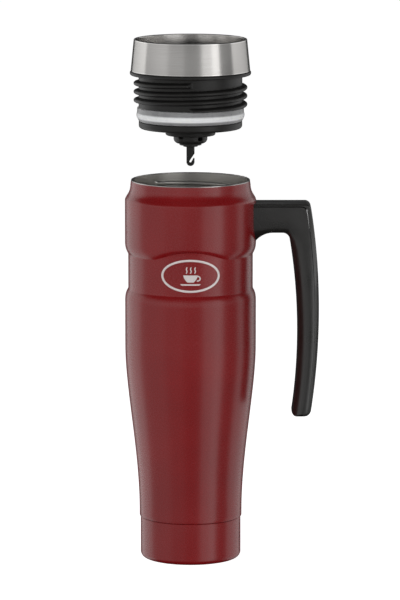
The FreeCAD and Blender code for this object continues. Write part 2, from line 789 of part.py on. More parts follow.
def lower_cap():
    round_r = CAP_ROUND
    k = round_r * (1 - math.sqrt(0.5))
    plate = CAP_LOW + CAP_T
    return turned(face([
        line((PORT_R, CAP_LOW), (CAP_R - round_r, CAP_LOW)),
        arc((CAP_R - round_r, CAP_LOW), (CAP_R - k, CAP_LOW + k), (CAP_R, CAP_LOW + round_r)),
        line((CAP_R, CAP_LOW + round_r), (CAP_R, CAP_TOP)),
        line((CAP_R, CAP_TOP), (CAP_WALL_R, CAP_TOP)),
        line((CAP_WALL_R, CAP_TOP), (CAP_WALL_R, plate)),
        line((CAP_WALL_R, plate), (PORT_WALL_R, plate)),
        line((PORT_WALL_R, plate), (PORT_WALL_R, CAP_TOP)),
        line((PORT_WALL_R, CAP_TOP), (PORT_R, CAP_TOP)),
        line((PORT_R, CAP_TOP), (PORT_R, CAP_LOW)),
    ]))


def spring_cage():
    """Stepped bowl under the cap, with ports that let the drink in."""
    bowl = turned(face([
        line((CAGE_BORE_R, CAP_LOW), (CAGE_R - 0.8, CAP_LOW)),
        line((CAGE_R - 0.8, CAP_LOW), (CAGE_R, CAGE_STEP + 0.6)),
        line((CAGE_R, CAGE_STEP + 0.6), (CAGE_R - 0.6, CAGE_STEP)),
        line((CAGE_R - 0.6, CAGE_STEP), (BOWL_R, CAGE_STEP)),
        line((BOWL_R, CAGE_STEP), (BOWL_R, BOWL_LOW)),
        arc((BOWL_R, BOWL_LOW), (8.9, -38.9), (BOWL_FLOOR_R, BOWL_FLOOR)),
        line((BOWL_FLOOR_R, BOWL_FLOOR), (BOWL_FLOOR_R, CAGE_LOW)),
        line((BOWL_FLOOR_R, CAGE_LOW), (BUTTON_R, CAGE_LOW)),
        line((BUTTON_R, CAGE_LOW), (BUTTON_R, BUTTON_LOW)),
        line((BUTTON_R, BUTTON_LOW), (0, BUTTON_LOW)),
        line((0, BUTTON_LOW), (0, CAGE_FLOOR)),
        line((0, CAGE_FLOOR), (4.9, CAGE_FLOOR)),
        line((4.9, CAGE_FLOOR), (CAGE_BORE_R, BOWL_LOW + 0.6)),
        line((CAGE_BORE_R, BOWL_LOW + 0.6), (CAGE_BORE_R, CAP_LOW)),
    ]))
    ports = []
    for i in range(CAGE_PORTS):
        port = box((6, -CAGE_PORT_HALF_W, CAGE_PORT_LOW), (12, CAGE_PORT_HALF_W, CAGE_PORT_TOP))
        port.rotate(AXIS, UP, CAGE_PORT_TURN + 360 / CAGE_PORTS * i)
        ports.append(port)
    return bowl.cut(Part.makeCompound(ports))


def tea_hook():
    """Flat hook with a slot that opens to the side, snapped on the bowl."""
    side = HOOK_HALF_W
    round_z = HOOK_LOW + side
    blade = face([
        line((-side, BUTTON_LOW), (-side, round_z)),
        arc((-side, round_z), (0, HOOK_LOW), (side, round_z)),
        line((side, round_z), (side, BUTTON_LOW)),
        line((side, BUTTON_LOW), (-side, BUTTON_LOW)),
    ])
    eye_z = HOOK_LOW + HOOK_EYE_Z
    slot = polygon([(-0.62, eye_z + 0.35), (2.35, eye_z + 4.8), (4, eye_z + 4.8),
                    (4, eye_z + 2.1), (1.75, eye_z + 2.05), (0.45, eye_z - 0.35)])
    cuts = slab(slot, 5).fuse(cross_rod(HOOK_EYE_R, 0, eye_z, 5))
    boss = rod(HOOK_BOSS_R, BUTTON_LOW - HOOK_BOSS_H, BUTTON_LOW)
    return slab(blade, HOOK_HALF_T).cut(cuts).fuse(boss)


def lever_pin():
    return cross_rod(PIN_R, PIN_X, PIN_Z, LEVER_HALF_W + EAR_GAP + EAR_T)


def lever():
    """Rocker: pad to press at +X, plug over the drinking slot at -X."""
    outline = face([
        line((-25.2, 9.6), (-25.2, 11.2)),
        arc((-25.2, 11.2), (-18.5, 14.1), (-10.0, 15.7)),
        line((-10.0, 15.7), (2.0, 16.3)),
        arc((2.0, 16.3), (10.5, 15.8), (18.5, 16.4)),
        line((18.5, 16.4), (18.5, 14.9)),
        line((18.5, 14.9), (3.0, 13.8)),
        line((3.0, 13.8), (-6.6, 13.2)),
        line((-6.6, 13.2), (-7.0, 9.2)),
        line((-7.0, 9.2), (-13.0, 9.2)),
        line((-13.0, 9.2), (-14.0, 10.8)),
        line((-14.0, 10.8), (-18.0, 9.6)),
        line((-18.0, 9.6), (-25.2, 9.6)),
    ])
    bar = slab(outline, LEVER_HALF_W)
    lug = cross_rod(LUG_R, 0, LUG_Z, LUG_HALF_W)
    bar = bar.fuse(lug).removeSplitter()
    return bar.cut(cross_rod(PIN_R + PIN_CLEARANCE, PIN_X, PIN_Z, 20))


def spout_seal():
    """Soft plug on the lever that closes the drinking slot."""
    return drink_slot(PLUG_MARGIN, DECK_TOP + PLUG_GAP, PLUG_TOP)


def valve_stem():
    head = rod(VALVE_HEAD_R, VALVE_LOW, VALVE_MID)
    shaft = rod(STEM_R, VALVE_MID, STEM_TOP)
    return shaft.fuse(head)


def valve_seal():
    return ring(STEM_R, VALVE_SEAL_R, VALVE_MID, VALVE_TOP)


def valve_spring():
    height = VALVE_LOW - CAGE_FLOOR - 2 * (SPRING_WIRE_R + SPRING_GAP)
    helix = Part.makeHelix(height / SPRING_TURNS, height, SPRING_R)
    circle = Part.Circle(V(SPRING_R, 0, 0), V(0, 1, 0), SPRING_WIRE_R).toShape()
    coil = Part.Wire(helix).makePipeShell([Part.Wire(circle)], True, True)
    return coil.translated(V(0, 0, CAGE_FLOOR + SPRING_WIRE_R + SPRING_GAP))


# ---- the nodes ----------------------------------------------------------

def mug_nodes():
    body, cover = handle_pieces()
    return {
        "outer_shell": outer_shell(),
        "inner_liner": inner_liner(),
        "rim_lip": rim_lip(),
        "base_cup": base_cup(),
        "base_disc": base_disc(),
        "evacuation_seal": evacuation_seal(),
        "getter": getter(),
        "badge_outline": badge_outline(),
        "badge_icon": badge_icon(),
        "handle_bracket": handle_bracket(),
        "handle_body": body,
        "handle_spine_cover": cover,
        "handle_screws": handle_screws(),
    }


def lid_nodes():
    makers = (lid_collar, stopper_body, main_gasket, lower_cap, lid_deck, drink_channel,
              lid_insulation, spring_cage, tea_hook, lever_pin, lever, spout_seal,
              valve_stem, valve_seal, valve_spring)
    return {make.__name__: lifted(make()) for make in makers}


def main():
    os.makedirs("parts", exist_ok=True)
    nodes = mug_nodes()
    nodes.update(lid_nodes())
    for name, shape in nodes.items():
        size = shape.BoundBox
        print(f"{name:20s} solids {len(shape.Solids):2d} valid {shape.isValid()} volume {shape.Volume:10.1f}"
              f" z {size.ZMin:7.2f} {size.ZMax:7.2f} x {size.XMin:7.2f} {size.XMax:7.2f}")
        shape.exportStep(f"parts/{name}.step")


main()
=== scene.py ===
"""Looks of the insulated travel mug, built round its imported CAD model. Metres, +Z up."""
import bmesh
import bpy
import math
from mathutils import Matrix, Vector


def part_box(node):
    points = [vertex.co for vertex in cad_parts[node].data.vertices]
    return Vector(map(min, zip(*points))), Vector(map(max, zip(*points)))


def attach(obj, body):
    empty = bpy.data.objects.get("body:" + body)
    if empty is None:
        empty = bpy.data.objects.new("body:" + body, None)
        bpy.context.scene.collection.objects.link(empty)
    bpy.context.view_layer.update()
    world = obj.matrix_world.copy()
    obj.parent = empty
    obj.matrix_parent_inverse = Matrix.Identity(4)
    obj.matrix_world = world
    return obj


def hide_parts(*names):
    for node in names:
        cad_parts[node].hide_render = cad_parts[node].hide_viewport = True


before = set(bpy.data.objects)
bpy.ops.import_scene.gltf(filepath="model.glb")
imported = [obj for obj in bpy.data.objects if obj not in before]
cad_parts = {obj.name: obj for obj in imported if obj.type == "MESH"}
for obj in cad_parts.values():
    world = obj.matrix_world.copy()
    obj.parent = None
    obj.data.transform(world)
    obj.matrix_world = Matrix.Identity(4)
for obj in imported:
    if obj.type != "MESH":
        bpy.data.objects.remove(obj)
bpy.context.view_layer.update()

MM = 0.001
TAU = 2 * math.pi

# ---- sizes, in millimetres, read from the frame where it holds them -----


def top_of(node):
    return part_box(node)[1].z / MM


def low_of(node):
    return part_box(node)[0].z / MM


def radius_of(node):
    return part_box(node)[1].y / MM


BAND_R = radius_of("outer_shell")
WAIST_R = BAND_R - 1.85
FOOT_R = 29.8
SOCK_R = FOOT_R - 1.3
SHEET = 0.6
SHELL_LOW_Z = low_of("outer_shell")
TAPER_LOW_Z = 27.0
TAPER_TOP_Z = 126.0
TAPER_PULLS = (36.3, 27.8)
SEAM_Z = top_of("base_cup") + 0.2
LIP_Z = top_of("outer_shell")
RIM_Z = top_of("rim_lip")
RIM_R = 34.45
NECK_R = 34.8
NECK_Z = 219.7
SHOULDER_Z = 210.5
LOW_STEP = (152.0, 160.6)
HIGH_STEP = (177.9, 186.1)
CREASE = 1.3
ARCH_RISE = 5.2
ARCH_SQUEEZE = 0.74
ARCH_HALF_ANGLE = math.radians(36)
CUP_R = radius_of("base_cup")
MOUTH_R = 33.2
LEDGE_R = 31.64
CAVITY_R = 32.0
FLOOR_R = 24.2
FLOOR_Z = low_of("inner_liner") + SHEET
FLOOR_ROUND = 9
LEDGE_LOW = (189.8, 192.8)
LEDGE_TOP = (201.8, 203.4)
MOUTH_LOW_Z = 204.0

# heights on the lid are given from LID_Z, the underside of its flange
FLANGE_T = 2.4
LID_Z = low_of("lid_collar") - FLANGE_T
COLLAR_LOW_R = 34.5
COLLAR_TOP_R = 32.68
COLLAR_IN_R = 31.4
COLLAR_TOP = 20.8
# radius inside which the collar's steel is painted paler, as painted light on its inner wall
COLLAR_PAINTED_LIGHT_R = 32.2
STOPPER_R = 28.6
GASKET_TOP = -18.8
GASKET_LOW = -26.5
# heights of the gasket's painted highlight band: white between them, grey (partly painted shade) outside
GASKET_PAINTED_HIGHLIGHT = (-25.2, -21.3)
CAP_R = 29.9
CAP_TOP = -26.8
CAP_LOW = -30.9
BOWL_R = 9.8
DECK_SEAT = 5.0
DECK_TOP = 7.0
SLOT_X = -22.0
PIN_X = -10.0
PIN_Z = 11.5

# screw thread
PITCH = 4.9
THREAD_START = -18.25
MALE_TURNS = 3.0
FEMALE_TURNS = 1.6
FEMALE_DROP_TURNS = 11.5
FEMALE_START = LID_Z + THREAD_START - FEMALE_DROP_TURNS * PITCH
NECK_OF_LID_R = 29.95
CREST_R = 32.85
GROOVE_R = 31.8

HANDLE_HALF_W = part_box("handle_body")[1].y / MM
HANDLE_TOP_Z = top_of("handle_spine_cover")


# ---- outlines -----------------------------------------------------------

def arc_points(centre, radius, start, end, count):
    """Points of an arc, angles in degrees."""
    points = []
    for i in range(count + 1):
        a = math.radians(start + (end - start) * i / count)
        points.append((centre[0] + radius * math.cos(a), centre[1] + radius * math.sin(a)))
    return points


def bezier(a, b, c, d, count):
    points = []
    for i in range(count + 1):
        t = i / count
        u = 1 - t
        points.append(tuple(u ** 3 * p + 3 * u * u * t * q + 3 * u * t * t * r + t ** 3 * s
                            for p, q, r, s in zip(a, b, c, d)))
    return points


def s_curve(a, b, pull_a, pull_b, count):
    """Curve from a to b that leaves and arrives along the second axis."""
    side = 1 if b[1] > a[1] else -1
    return bezier(a, (a[0], a[1] + side * pull_a), (b[0], b[1] - side * pull_b), b, count)


def softened(points, closed=True, steps=5):
    """Replace each corner (x, z, radius) by an arc that is tangent to both of its sides."""
    result = []
    count = len(points)
    for i, point in enumerate(points):
        here = Vector(point[:2])
        radius = point[2] if len(point) > 2 else 0
        ends = not closed and i in (0, count - 1)
        if radius == 0 or ends:
            result.append((here.x, here.y))
            continue
        back = Vector(points[i - 1][:2]) - here
        ahead = Vector(points[(i + 1) % count][:2]) - here
        turn = back.angle(ahead)
        reach = min(radius / math.tan(turn / 2), 0.49 * back.length, 0.49 * ahead.length)
        start = here + back.normalized() * reach
        end = here + ahead.normalized() * reach
        middle = (back.normalized() + ahead.normalized()).normalized()
        centre = here + middle * (reach / math.cos(turn / 2))
        for k in range(steps + 1):
            t = k / steps
            spoke = (start - centre).lerp(end - centre, t).normalized() * (start - centre).length
            result.append(tuple(centre + spoke))
    return result


# ---- mesh makers --------------------------------------------------------

def piece(name, verts, faces, body, material, replaced=(), sharp=35):
    """Mesh object in metres from points in millimetres, placed on its body."""
    mesh = bpy.data.meshes.new(name)
    mesh.from_pydata([(x * MM, y * MM, z * MM) for x, y, z in verts], [], faces)
    bm = bmesh.new()
    bm.from_mesh(mesh)
    bmesh.ops.remove_doubles(bm, verts=bm.verts, dist=1e-7)
    bmesh.ops.recalc_face_normals(bm, faces=bm.faces)
    bm.to_mesh(mesh)
    bm.free()
    mesh.shade_smooth()
    mesh.set_sharp_from_angle(angle=math.radians(sharp))
    thing = bpy.data.objects.new(name, mesh)
    bpy.context.scene.collection.objects.link(thing)
    mesh.materials.append(material)
    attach(thing, body)
    if replaced:
        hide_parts(*replaced)
    return thing


def lathe_data(profile, segments=192, shape=None, lift=0.0, closed=True):
    """Verts and faces of a profile (r, z) turned about Z. shape(r, z, angle) may bend it."""
    verts = []
    rows = []
    for r, z in profile:
        if r < 1e-6:
            verts.append((0, 0, z + lift))
            rows.append([len(verts) - 1] * segments)
            continue
        row = []
        for j in range(segments):
            angle = TAU * j / segments
            rr, zz = shape(r, z, angle) if shape else (r, z)
            verts.append((rr * math.cos(angle), rr * math.sin(angle), zz + lift))
            row.append(len(verts) - 1)
        rows.append(row)
    pairs = list(zip(rows, rows[1:]))
    if closed:
        pairs.append((rows[-1], rows[0]))
    faces = []
    for low, high in pairs:
        for j in range(segments):
            k = (j + 1) % segments
            loop = []
            for index in (low[j], low[k], high[k], high[j]):
                if index not in loop:
                    loop.append(index)
            if len(loop) > 2:
                faces.append(loop)
    return verts, faces


def lathe(name, profile, body, slot, material, replaced=(), lift=0.0, **options):
    verts, faces = lathe_data(profile, lift=lift, **options)
    return piece(name, verts, faces, body, material, replaced)


def inset_point(points, i, distance):
    """Outline point moved to its left by distance; the outline runs anticlockwise."""
    here = Vector(points[i])
    back = (here - Vector(points[i - 1])).normalized()
    ahead = (Vector(points[(i + 1) % len(points)]) - here).normalized()
    along = (back + ahead).normalized()
    normal = Vector((-along.y, along.x))
    stretch = max(0.5, normal.dot(Vector((-back.y, back.x))))
    return here + normal * (distance / stretch)


def slab_data(outline, half_width, rounding, steps=8):
    """Plate in the XZ plane with rounded rims; rounding is one radius or one per point."""
    area = sum(a[0] * b[1] - b[0] * a[1] for a, b in zip(outline, outline[1:] + outline[:1]))
    radii = rounding if isinstance(rounding, list) else [rounding] * len(outline)
    if area < 0:
        outline = outline[::-1]
        radii = radii[::-1]
    count = len(outline)
    rings = []
    for side in (-1, 1):
        order = range(steps, -1, -1) if side < 0 else range(steps + 1)
        for k in order:
            a = math.radians(90 * k / steps)
            ring = []
            for i in range(count):
                p = inset_point(outline, i, radii[i] * (1 - math.cos(a)))
                y = half_width - radii[i] * (1 - math.sin(a))
                ring.append((p.x, side * y, p.y))
            rings.append(ring)
    verts = [p for ring in rings for p in ring]
    faces = []
    for n in range(len(rings) - 1):
        for i in range(count):
            k = (i + 1) % count
            faces.append([n * count + i, n * count + k, (n + 1) * count + k, (n + 1) * count + i])
    last = (len(rings) - 1) * count
    faces.append(list(range(count)))
    faces.append(list(range(last + count - 1, last - 1, -1)))
    return verts, faces


def slab(name, outline, half_width, rounding, body, material, replaced=(), lift=0.0, sharp=35):
    verts, faces = slab_data(outline, half_width, rounding)
    verts = [(x, y, z + lift) for x, y, z in verts]
    thing = piece(name, verts, faces, body, material, replaced, sharp)
    flat = thing.modifiers.new("flat_sides", "WEIGHTED_NORMAL")
    flat.keep_sharp = True
    return thing


def moved(data, shift=(0, 0, 0), turn=0.0):
    """Verts and faces shifted, then turned about Z by an angle in degrees."""
    c = math.cos(math.radians(turn))
    s = math.sin(math.radians(turn))
    verts = []
    for x, y, z in data[0]:
        x += shift[0]
        y += shift[1]
        verts.append((x * c - y * s, x * s + y * c, z + shift[2]))
    return verts, data[1]


def upright(data):
    """Slab data turned so that its outline lies in the XY plane and its width runs along Z."""
    return [(x, z, y) for x, y, z in data[0]], [loop[::-1] for loop in data[1]]


def carve(thing, parts):
    """Cut closed meshes, given in millimetres, out of a piece."""
    verts, faces = joined(parts)
    mesh = bpy.data.meshes.new("cutter")
    mesh.from_pydata([(x * MM, y * MM, z * MM) for x, y, z in verts], [], faces)
    cutter = bpy.data.objects.new("cutter", mesh)
    bpy.context.scene.collection.objects.link(cutter)
    cutter.matrix_world = thing.matrix_world
    cut = thing.modifiers.new("cut", "BOOLEAN")
    cut.object = cutter
    cut.solver = "EXACT"
    bpy.context.view_layer.update()
    graph = bpy.context.evaluated_depsgraph_get()
    result = bpy.data.meshes.new_from_object(thing.evaluated_get(graph))
    thing.modifiers.remove(cut)
    thing.data = result
    result.set_sharp_from_angle(angle=math.radians(35))
    bpy.data.objects.remove(cutter)


# ---- materials ----------------------------------------------------------

def ramp(tree, source, start, end, low, high):
    """Value that runs from low to high while the source runs from start to end."""
    node = tree.nodes.new("ShaderNodeMapRange")
    for socket, value in (("From Min", start), ("From Max", end), ("To Min", low), ("To Max", high)):
        node.inputs[socket].default_value = value
    tree.links.new(source, node.inputs["Value"])
    return node.outputs["Result"]


def maths(tree, operation, a, b):
    node = tree.nodes.new("ShaderNodeMath")
    node.operation = operation
    tree.links.new(a, node.inputs[0])
    tree.links.new(b, node.inputs[1])
    return node.outputs[0]


class Nodes:
    """Small helper that builds one procedural material."""

    def __init__(self, name, **shader):
        self.material = bpy.data.materials.new(name)
        self.material.use_nodes = True
        self.tree = self.material.node_tree
        self.shader = self.tree.nodes["Principled BSDF"]
        for socket, value in shader.items():
            self.shader.inputs[socket.replace("_", " ")].default_value = value
        self.place = self.tree.nodes.new("ShaderNodeTexCoord").outputs["Object"]

    def add(self, kind, links=None, **values):
        node = self.tree.nodes.new(kind)
        for key, value in values.items():
            if hasattr(node, key):
                setattr(node, key, value)
            else:
                node.inputs[key.replace("_", " ")].default_value = value
        for socket, source in (links or {}).items():
            self.tree.links.new(source, node.inputs[socket])
        return node

    def scaled(self, scale):
        return self.add("ShaderNodeMapping", {"Vector": self.place}, Scale=scale).outputs["Vector"]

    def noise(self, scale, vector=None, detail=2.0, roughness=0.5):
        node = self.add("ShaderNodeTexNoise", {"Vector": vector or self.place},
                        Scale=scale, Detail=detail, Roughness=roughness)
        return node.outputs["Fac"]

    def height(self):
        return self.add("ShaderNodeSeparateXYZ", {"Vector": self.place}).outputs["Z"]

    def maths(self, operation, a, b):
        return maths(self.tree, operation, a, b)

    def spread(self, value, low, high, start=0.0, end=1.0):
        return ramp(self.tree, value, start, end, low, high)

    def mix(self, factor, a, b, kind="RGBA"):
        """Mix of a and b, each of them a colour or a socket."""
        node = self.add("ShaderNodeMix", data_type=kind)
        self.tree.links.new(factor, node.inputs["Factor"])
        for socket, value in (("A", a), ("B", b)):
            if isinstance(value, tuple):
                node.inputs[socket].default_value = (*value, 1)
            else:
                self.tree.links.new(value, node.inputs[socket])
        return node.outputs["Result"]

    def bump(self, height, strength, distance):
        node = self.add("ShaderNodeBump", {"Height": height}, Strength=strength, Distance=distance)
        if self.shader.inputs["Normal"].links:
            earlier = self.shader.inputs["Normal"].links[0].from_socket
            self.tree.links.new(earlier, node.inputs["Normal"])
        self.tree.links.new(node.outputs["Normal"], self.shader.inputs["Normal"])

    def wire(self, socket, source):
        self.tree.links.new(source, self.shader.inputs[socket])


def powder_coat():
    """Fine satin powder coat: small orange-peel bumps and faint colour drift."""
    m = Nodes("red_powder_coat", Specular_IOR_Level=0.6)
    fine = m.noise(2600, detail=3.0, roughness=0.6)
    broad = m.noise(28, detail=2.0)
    drift = m.spread(broad, 0.0, 1.0, 0.35, 0.65)
    m.wire("Base Color", m.mix(drift, (0.20, 0.0050, 0.0065), (0.23, 0.0062, 0.0078)))
    m.wire("Roughness", m.spread(fine, 0.23, 0.30, 0.3, 0.7))
    m.bump(m.noise(1500, detail=2.0), 0.07, 0.00010)
    m.bump(fine, 0.08, 0.00005)
    return m.material


def brushed_steel(name, colour_a, colour_b, rough, lines=1.0, painted_highlight=None):
    """Steel with fine scratches that run round the axis.

    The last argument (low, high, radius) paints paler steel within 1 mm of the heights low and high, as
    painted highlights on the rims, and inside the radius, as painted light on the inner wall.
    """
    m = Nodes(name, Metallic=1.0)
    m.shader.inputs["Specular Tint"].default_value = (0.55, 0.55, 0.55, 1)
    rings = m.noise(90, m.scaled((0.6, 0.6, 60.0)), detail=4.0, roughness=0.65)
    broad = m.noise(35, detail=2.0)
    colour = m.mix(m.spread(rings, 0.0, 1.0, 0.3, 0.7), colour_a, colour_b)
    # painted highlights on the rims and painted light inside: paler base colour, not a different steel
    if painted_highlight:
        low, high, radius = painted_highlight
        z = m.height()
        flat = m.scaled((1.0, 1.0, 0.0))
        r = m.add("ShaderNodeVectorMath", {"Vector": flat}, operation="LENGTH").outputs["Value"]
        rims = m.maths("MAXIMUM", m.spread(z, 1.0, 0.0, low, low + 0.0006),
                       m.spread(z, 0.0, 1.0, high - 0.0009, high - 0.0003))
        inside = m.spread(r, 0.82, 0.0, radius - 0.0005, radius - 0.0002)
        colour = m.mix(m.maths("MAXIMUM", rims, inside), colour, (0.90, 0.885, 0.865))
    m.wire("Base Color", colour)
    m.wire("Roughness", m.spread(broad, rough - 0.03, rough + 0.05, 0.3, 0.7))
    m.bump(rings, 0.12 * lines, 0.00004)
    return m.material


def moulded_plastic(name, colour_a, colour_b, rough, grain=0.25, shine=0.5):
    """Plastic with a fine moulded texture and a faint drift of colour and gloss."""
    m = Nodes(name, Specular_IOR_Level=shine)
    fine = m.noise(3200, detail=3.0, roughness=0.7)
    broad = m.noise(60, detail=3.0)
    m.wire("Base Color", m.mix(m.spread(broad, 0.0, 1.0, 0.35, 0.65), colour_a, colour_b))
    m.wire("Roughness", m.spread(broad, rough - 0.04, rough + 0.06, 0.35, 0.65))
    m.bump(fine, grain, 0.00008)
    return m.material


def silicone(name, bulge=None):
    """Milky silicone. With bulge (low, high) it is white between those heights, a painted highlight on the
    bulge, and grey outside them, partly the black core showing through thin silicone and partly painted
    shade.
    """
    m = Nodes(name, Subsurface_Weight=0.35, Subsurface_Scale=0.002, IOR=1.41)
    m.shader.inputs["Subsurface Radius"].default_value = (1.0, 1.0, 1.1)
    cloud = m.noise(180, detail=2.0)
    if bulge:
        low, high = bulge
        z = m.height()
        # white on the bulge is a painted highlight; the grey outside is partly the black core through thin
        # silicone, partly painted shade
        rise = m.spread(z, 0.0, 1.0, low, low + 0.0009)
        fall = m.spread(z, 1.0, 0.0, high - 0.0009, high)
        painted_bulge_highlight = m.mix(m.maths("MULTIPLY", rise, fall), m.spread(cloud, 0.0, 0.06, 0.3, 0.7),
                          m.spread(cloud, 0.92, 1.0, 0.3, 0.7), "FLOAT")
        m.wire("Base Color", m.mix(painted_bulge_highlight, (0.26, 0.26, 0.265), (0.955, 0.965, 0.98)))
        m.shader.inputs["Sheen Weight"].default_value = 0.5
        m.shader.inputs["Sheen Roughness"].default_value = 0.35
    else:
        m.wire("Base Color", m.mix(cloud, (0.55, 0.57, 0.60), (0.64, 0.66, 0.69)))
    m.wire("Roughness", m.spread(cloud, 0.24, 0.34, 0.3, 0.7))
    m.bump(m.noise(900, detail=2.0), 0.05, 0.00005)
    return m.material


def badge_paint():
    m = Nodes("pale_badge_paint", Metallic=0.3)
    fine = m.noise(1800, detail=2.0)
    m.wire("Base Color", m.mix(fine, (0.74, 0.66, 0.65), (0.86, 0.80, 0.79)))
    m.wire("Roughness", m.spread(fine, 0.34, 0.48, 0.3, 0.7))
    m.bump(fine, 0.15, 0.00005)
    return m.material


def foam():
    m = Nodes("closed_cell_foam", Roughness=0.95)
    cells = m.add("ShaderNodeTexVoronoi", {"Vector": m.place}, Scale=900.0).outputs["Distance"]
    walls = m.spread(cells, 0.0, 1.0, 0.0, 0.6)
    m.wire("Base Color", m.mix(walls, (0.80, 0.76, 0.62), (0.92, 0.90, 0.80)))
    m.bump(cells, 0.5, 0.0003)
    return m.material


def pale_floor():
    """Matt floor that glows, so that the camera sees it as white as the background."""
    m = Nodes("pale_floor", Roughness=0.9, Specular_IOR_Level=0.1)
    m.wire("Base Color", m.mix(m.noise(3.0), (0.80, 0.80, 0.80), (0.84, 0.84, 0.84)))
    m.shader.inputs["Emission Color"].default_value = (1, 1, 1, 1)
    m.shader.inputs["Emission Strength"].default_value = FLOOR_GLOW
    return m.material


BRIGHT_STEEL = ((0.505, 0.49, 0.475), (0.555, 0.545, 0.53))

RED = powder_coat()
LINER = brushed_steel("liner_steel", (0.78, 0.76, 0.73), (0.86, 0.84, 0.80), 0.30, 0.6)
# the collar's steel is painted paler at its two rims (painted highlights) and inside (painted light)
COLLAR = brushed_steel("collar_steel", *BRIGHT_STEEL, 0.19, 0.6,
                       ((LID_Z + FLANGE_T) * MM, (LID_Z + COLLAR_TOP) * MM, COLLAR_PAINTED_LIGHT_R * MM))
LIP = brushed_steel("lip_steel", *BRIGHT_STEEL, 0.22, 0.6)
PLAIN_STEEL = brushed_steel("plain_steel", (0.42, 0.42, 0.41), (0.52, 0.52, 0.51), 0.30)
BLACK = moulded_plastic("black_plastic", (0.0100, 0.0094, 0.0088), (0.0130, 0.0123, 0.0115),
                        0.44, grain=0.2, shine=0.42)
HANDLE = moulded_plastic("handle_plastic", (0.0102, 0.0095, 0.0087), (0.0130, 0.0122, 0.0112),
                         0.30, grain=0.15, shine=0.95)
NATURAL = moulded_plastic("natural_plastic", (0.55, 0.55, 0.52), (0.62, 0.62, 0.60), 0.45, grain=0.2)
SILICONE = silicone("milky_silicone")
GASKET = silicone("gasket_silicone", tuple((LID_Z + level) * MM for level in GASKET_PAINTED_HIGHLIGHT))
BADGE = badge_paint()


# ---- mug body -----------------------------------------------------------

def arch_shape(r, z, angle):
    """Raise and squeeze the step under the upper band at the front, to arch over the badge."""
    off = abs((angle + math.pi / 2 + math.pi) % TAU - math.pi)
    if off > ARCH_HALF_ANGLE:
        return r, z
    rise = ARCH_RISE * math.cos(math.pi / 2 * off / ARCH_HALF_ANGLE) ** 1.2
    below = min(1.0, max(0.0, (z - LOW_STEP[1] - 2) / (HIGH_STEP[0] - LOW_STEP[1] - 3)))
    above = min(1.0, max(0.0, (SHOULDER_Z - z) / (SHOULDER_Z - HIGH_STEP[1] - 1)))
    crease = HIGH_STEP[0] + CREASE
    squeeze = ARCH_SQUEEZE * rise / ARCH_RISE * min(max(0.0, z - crease), HIGH_STEP[1] - crease)
    return r, z + (rise * below - squeeze) * above


def even(a, b, count):
    """Points that divide a straight stretch evenly, without its ends."""
    return [(a[0] + (b[0] - a[0]) * i / count, a[1] + (b[1] - a[1]) * i / count)
            for i in range(1, count)]


def shell_line(inset):
    """Outline of the shell from its tucked-in foot to the rim, moved inwards by inset."""
    foot = FOOT_R - inset
    sock = SOCK_R - inset
    band = BAND_R - inset
    waist = WAIST_R - inset
    neck = NECK_R - inset
    rim = RIM_R - inset
    step = SEAM_Z + inset
    points = [(sock, SHELL_LOW_Z), (sock, step)]
    points += [(foot - 0.4, step), (foot - 0.12, step + 0.12), (foot, step + 0.4)]
    points += s_curve((foot, TAPER_LOW_Z), (band, TAPER_TOP_Z), *TAPER_PULLS, 40)
    points += even((band, TAPER_TOP_Z), (band, LOW_STEP[0]), 5)
    points += s_curve((band, LOW_STEP[0]), (waist, LOW_STEP[1] - CREASE), 5.4, 0.9, 24)
    points += even((waist, LOW_STEP[1] - CREASE), (waist, HIGH_STEP[0] + CREASE), 12)
    points += s_curve((waist, HIGH_STEP[0] + CREASE), (band, HIGH_STEP[1]), 0.7, 4.6, 24)
    points += even((band, HIGH_STEP[1]), (band, SHOULDER_Z), 12)
    points += s_curve((band, SHOULDER_Z), (neck, NECK_Z), 2.2, 5.4, 30)
    points.append((rim, LIP_Z))
    return points


def outer_shell():
    profile = shell_line(0.0) + shell_line(SHEET)[::-1]
    lathe("painted_shell", profile, "mug", "red_paint", RED, ("outer_shell",), segments=256,
          shape=arch_shape)


def base_cup():
    """Cup round the foot, with a shallow groove pressed into its underside."""
    groove = [(22.5, 0, 0.3), (21.7, 0.8, 0.3), (20.3, 0.8, 0.3), (19.5, 0, 0.3)]
    inside = [(r, z + SHEET, bend) for r, z, bend in groove]
    top = SEAM_Z - 0.3
    wall = [(CUP_R, 0, 3.5), (CUP_R, top, 0.35), (CUP_R - SHEET, top, 0.1), (CUP_R - SHEET, SHEET, 2.9)]
    corners = [(0, 0)] + groove[::-1] + wall + inside + [(0, SHEET)]
    lathe("foot_cup", softened(corners, closed=False, steps=8), "mug", "red_paint", RED,
          ("base_cup",), closed=False)


def rim_lip():
    low = LIP_Z
    top = RIM_Z
    corners = [(MOUTH_R, low), (RIM_R, low), (RIM_R + 0.03, low + 0.1, 0.1),
               (RIM_R - 0.05, top, 0.4), (MOUTH_R, top, 0.4)]
    lathe("mouth_lip", softened(corners, steps=6), "mug", "collar_steel", LIP, ("rim_lip",))


def helix_height(angle, start, turns, z):
    """Height of the thread turn nearest to z at an angle, and its distance to an end in turns."""
    share = ((angle + math.pi / 2) % TAU) / TAU
    best = None
    for n in range(-1, int(turns) + 2):
        turn = n + share
        if -0.02 <= turn <= turns + 0.02:
            height = start + PITCH * turn
            end = min(turn, turns - turn)
            if best is None or abs(height - z) < abs(best[0] - z):
                best = (height, end)
    return best


def thread_shape(start, turns, half_width, depth, top):
    """Ridge on a wall: half_width at the wall, top half the flat crest, a negative depth inwards."""
    def shape(r, z, angle):
        found = helix_height(angle, start, turns, z)
        if found is None:
            return r, z
        height, end = found
        off = abs(z - height)
        if off >= half_width:
            return r, z
        t = min(1.0, (half_width - off) / (half_width - top))
        profile = math.sqrt(max(0.0, 1 - (1 - t) ** 2)) if depth > 0 else t * t * (3 - 2 * t)
        fade = min(1.0, max(0.0, (end + 0.004) / 0.012))
        return r + depth * profile * fade, z
    return shape


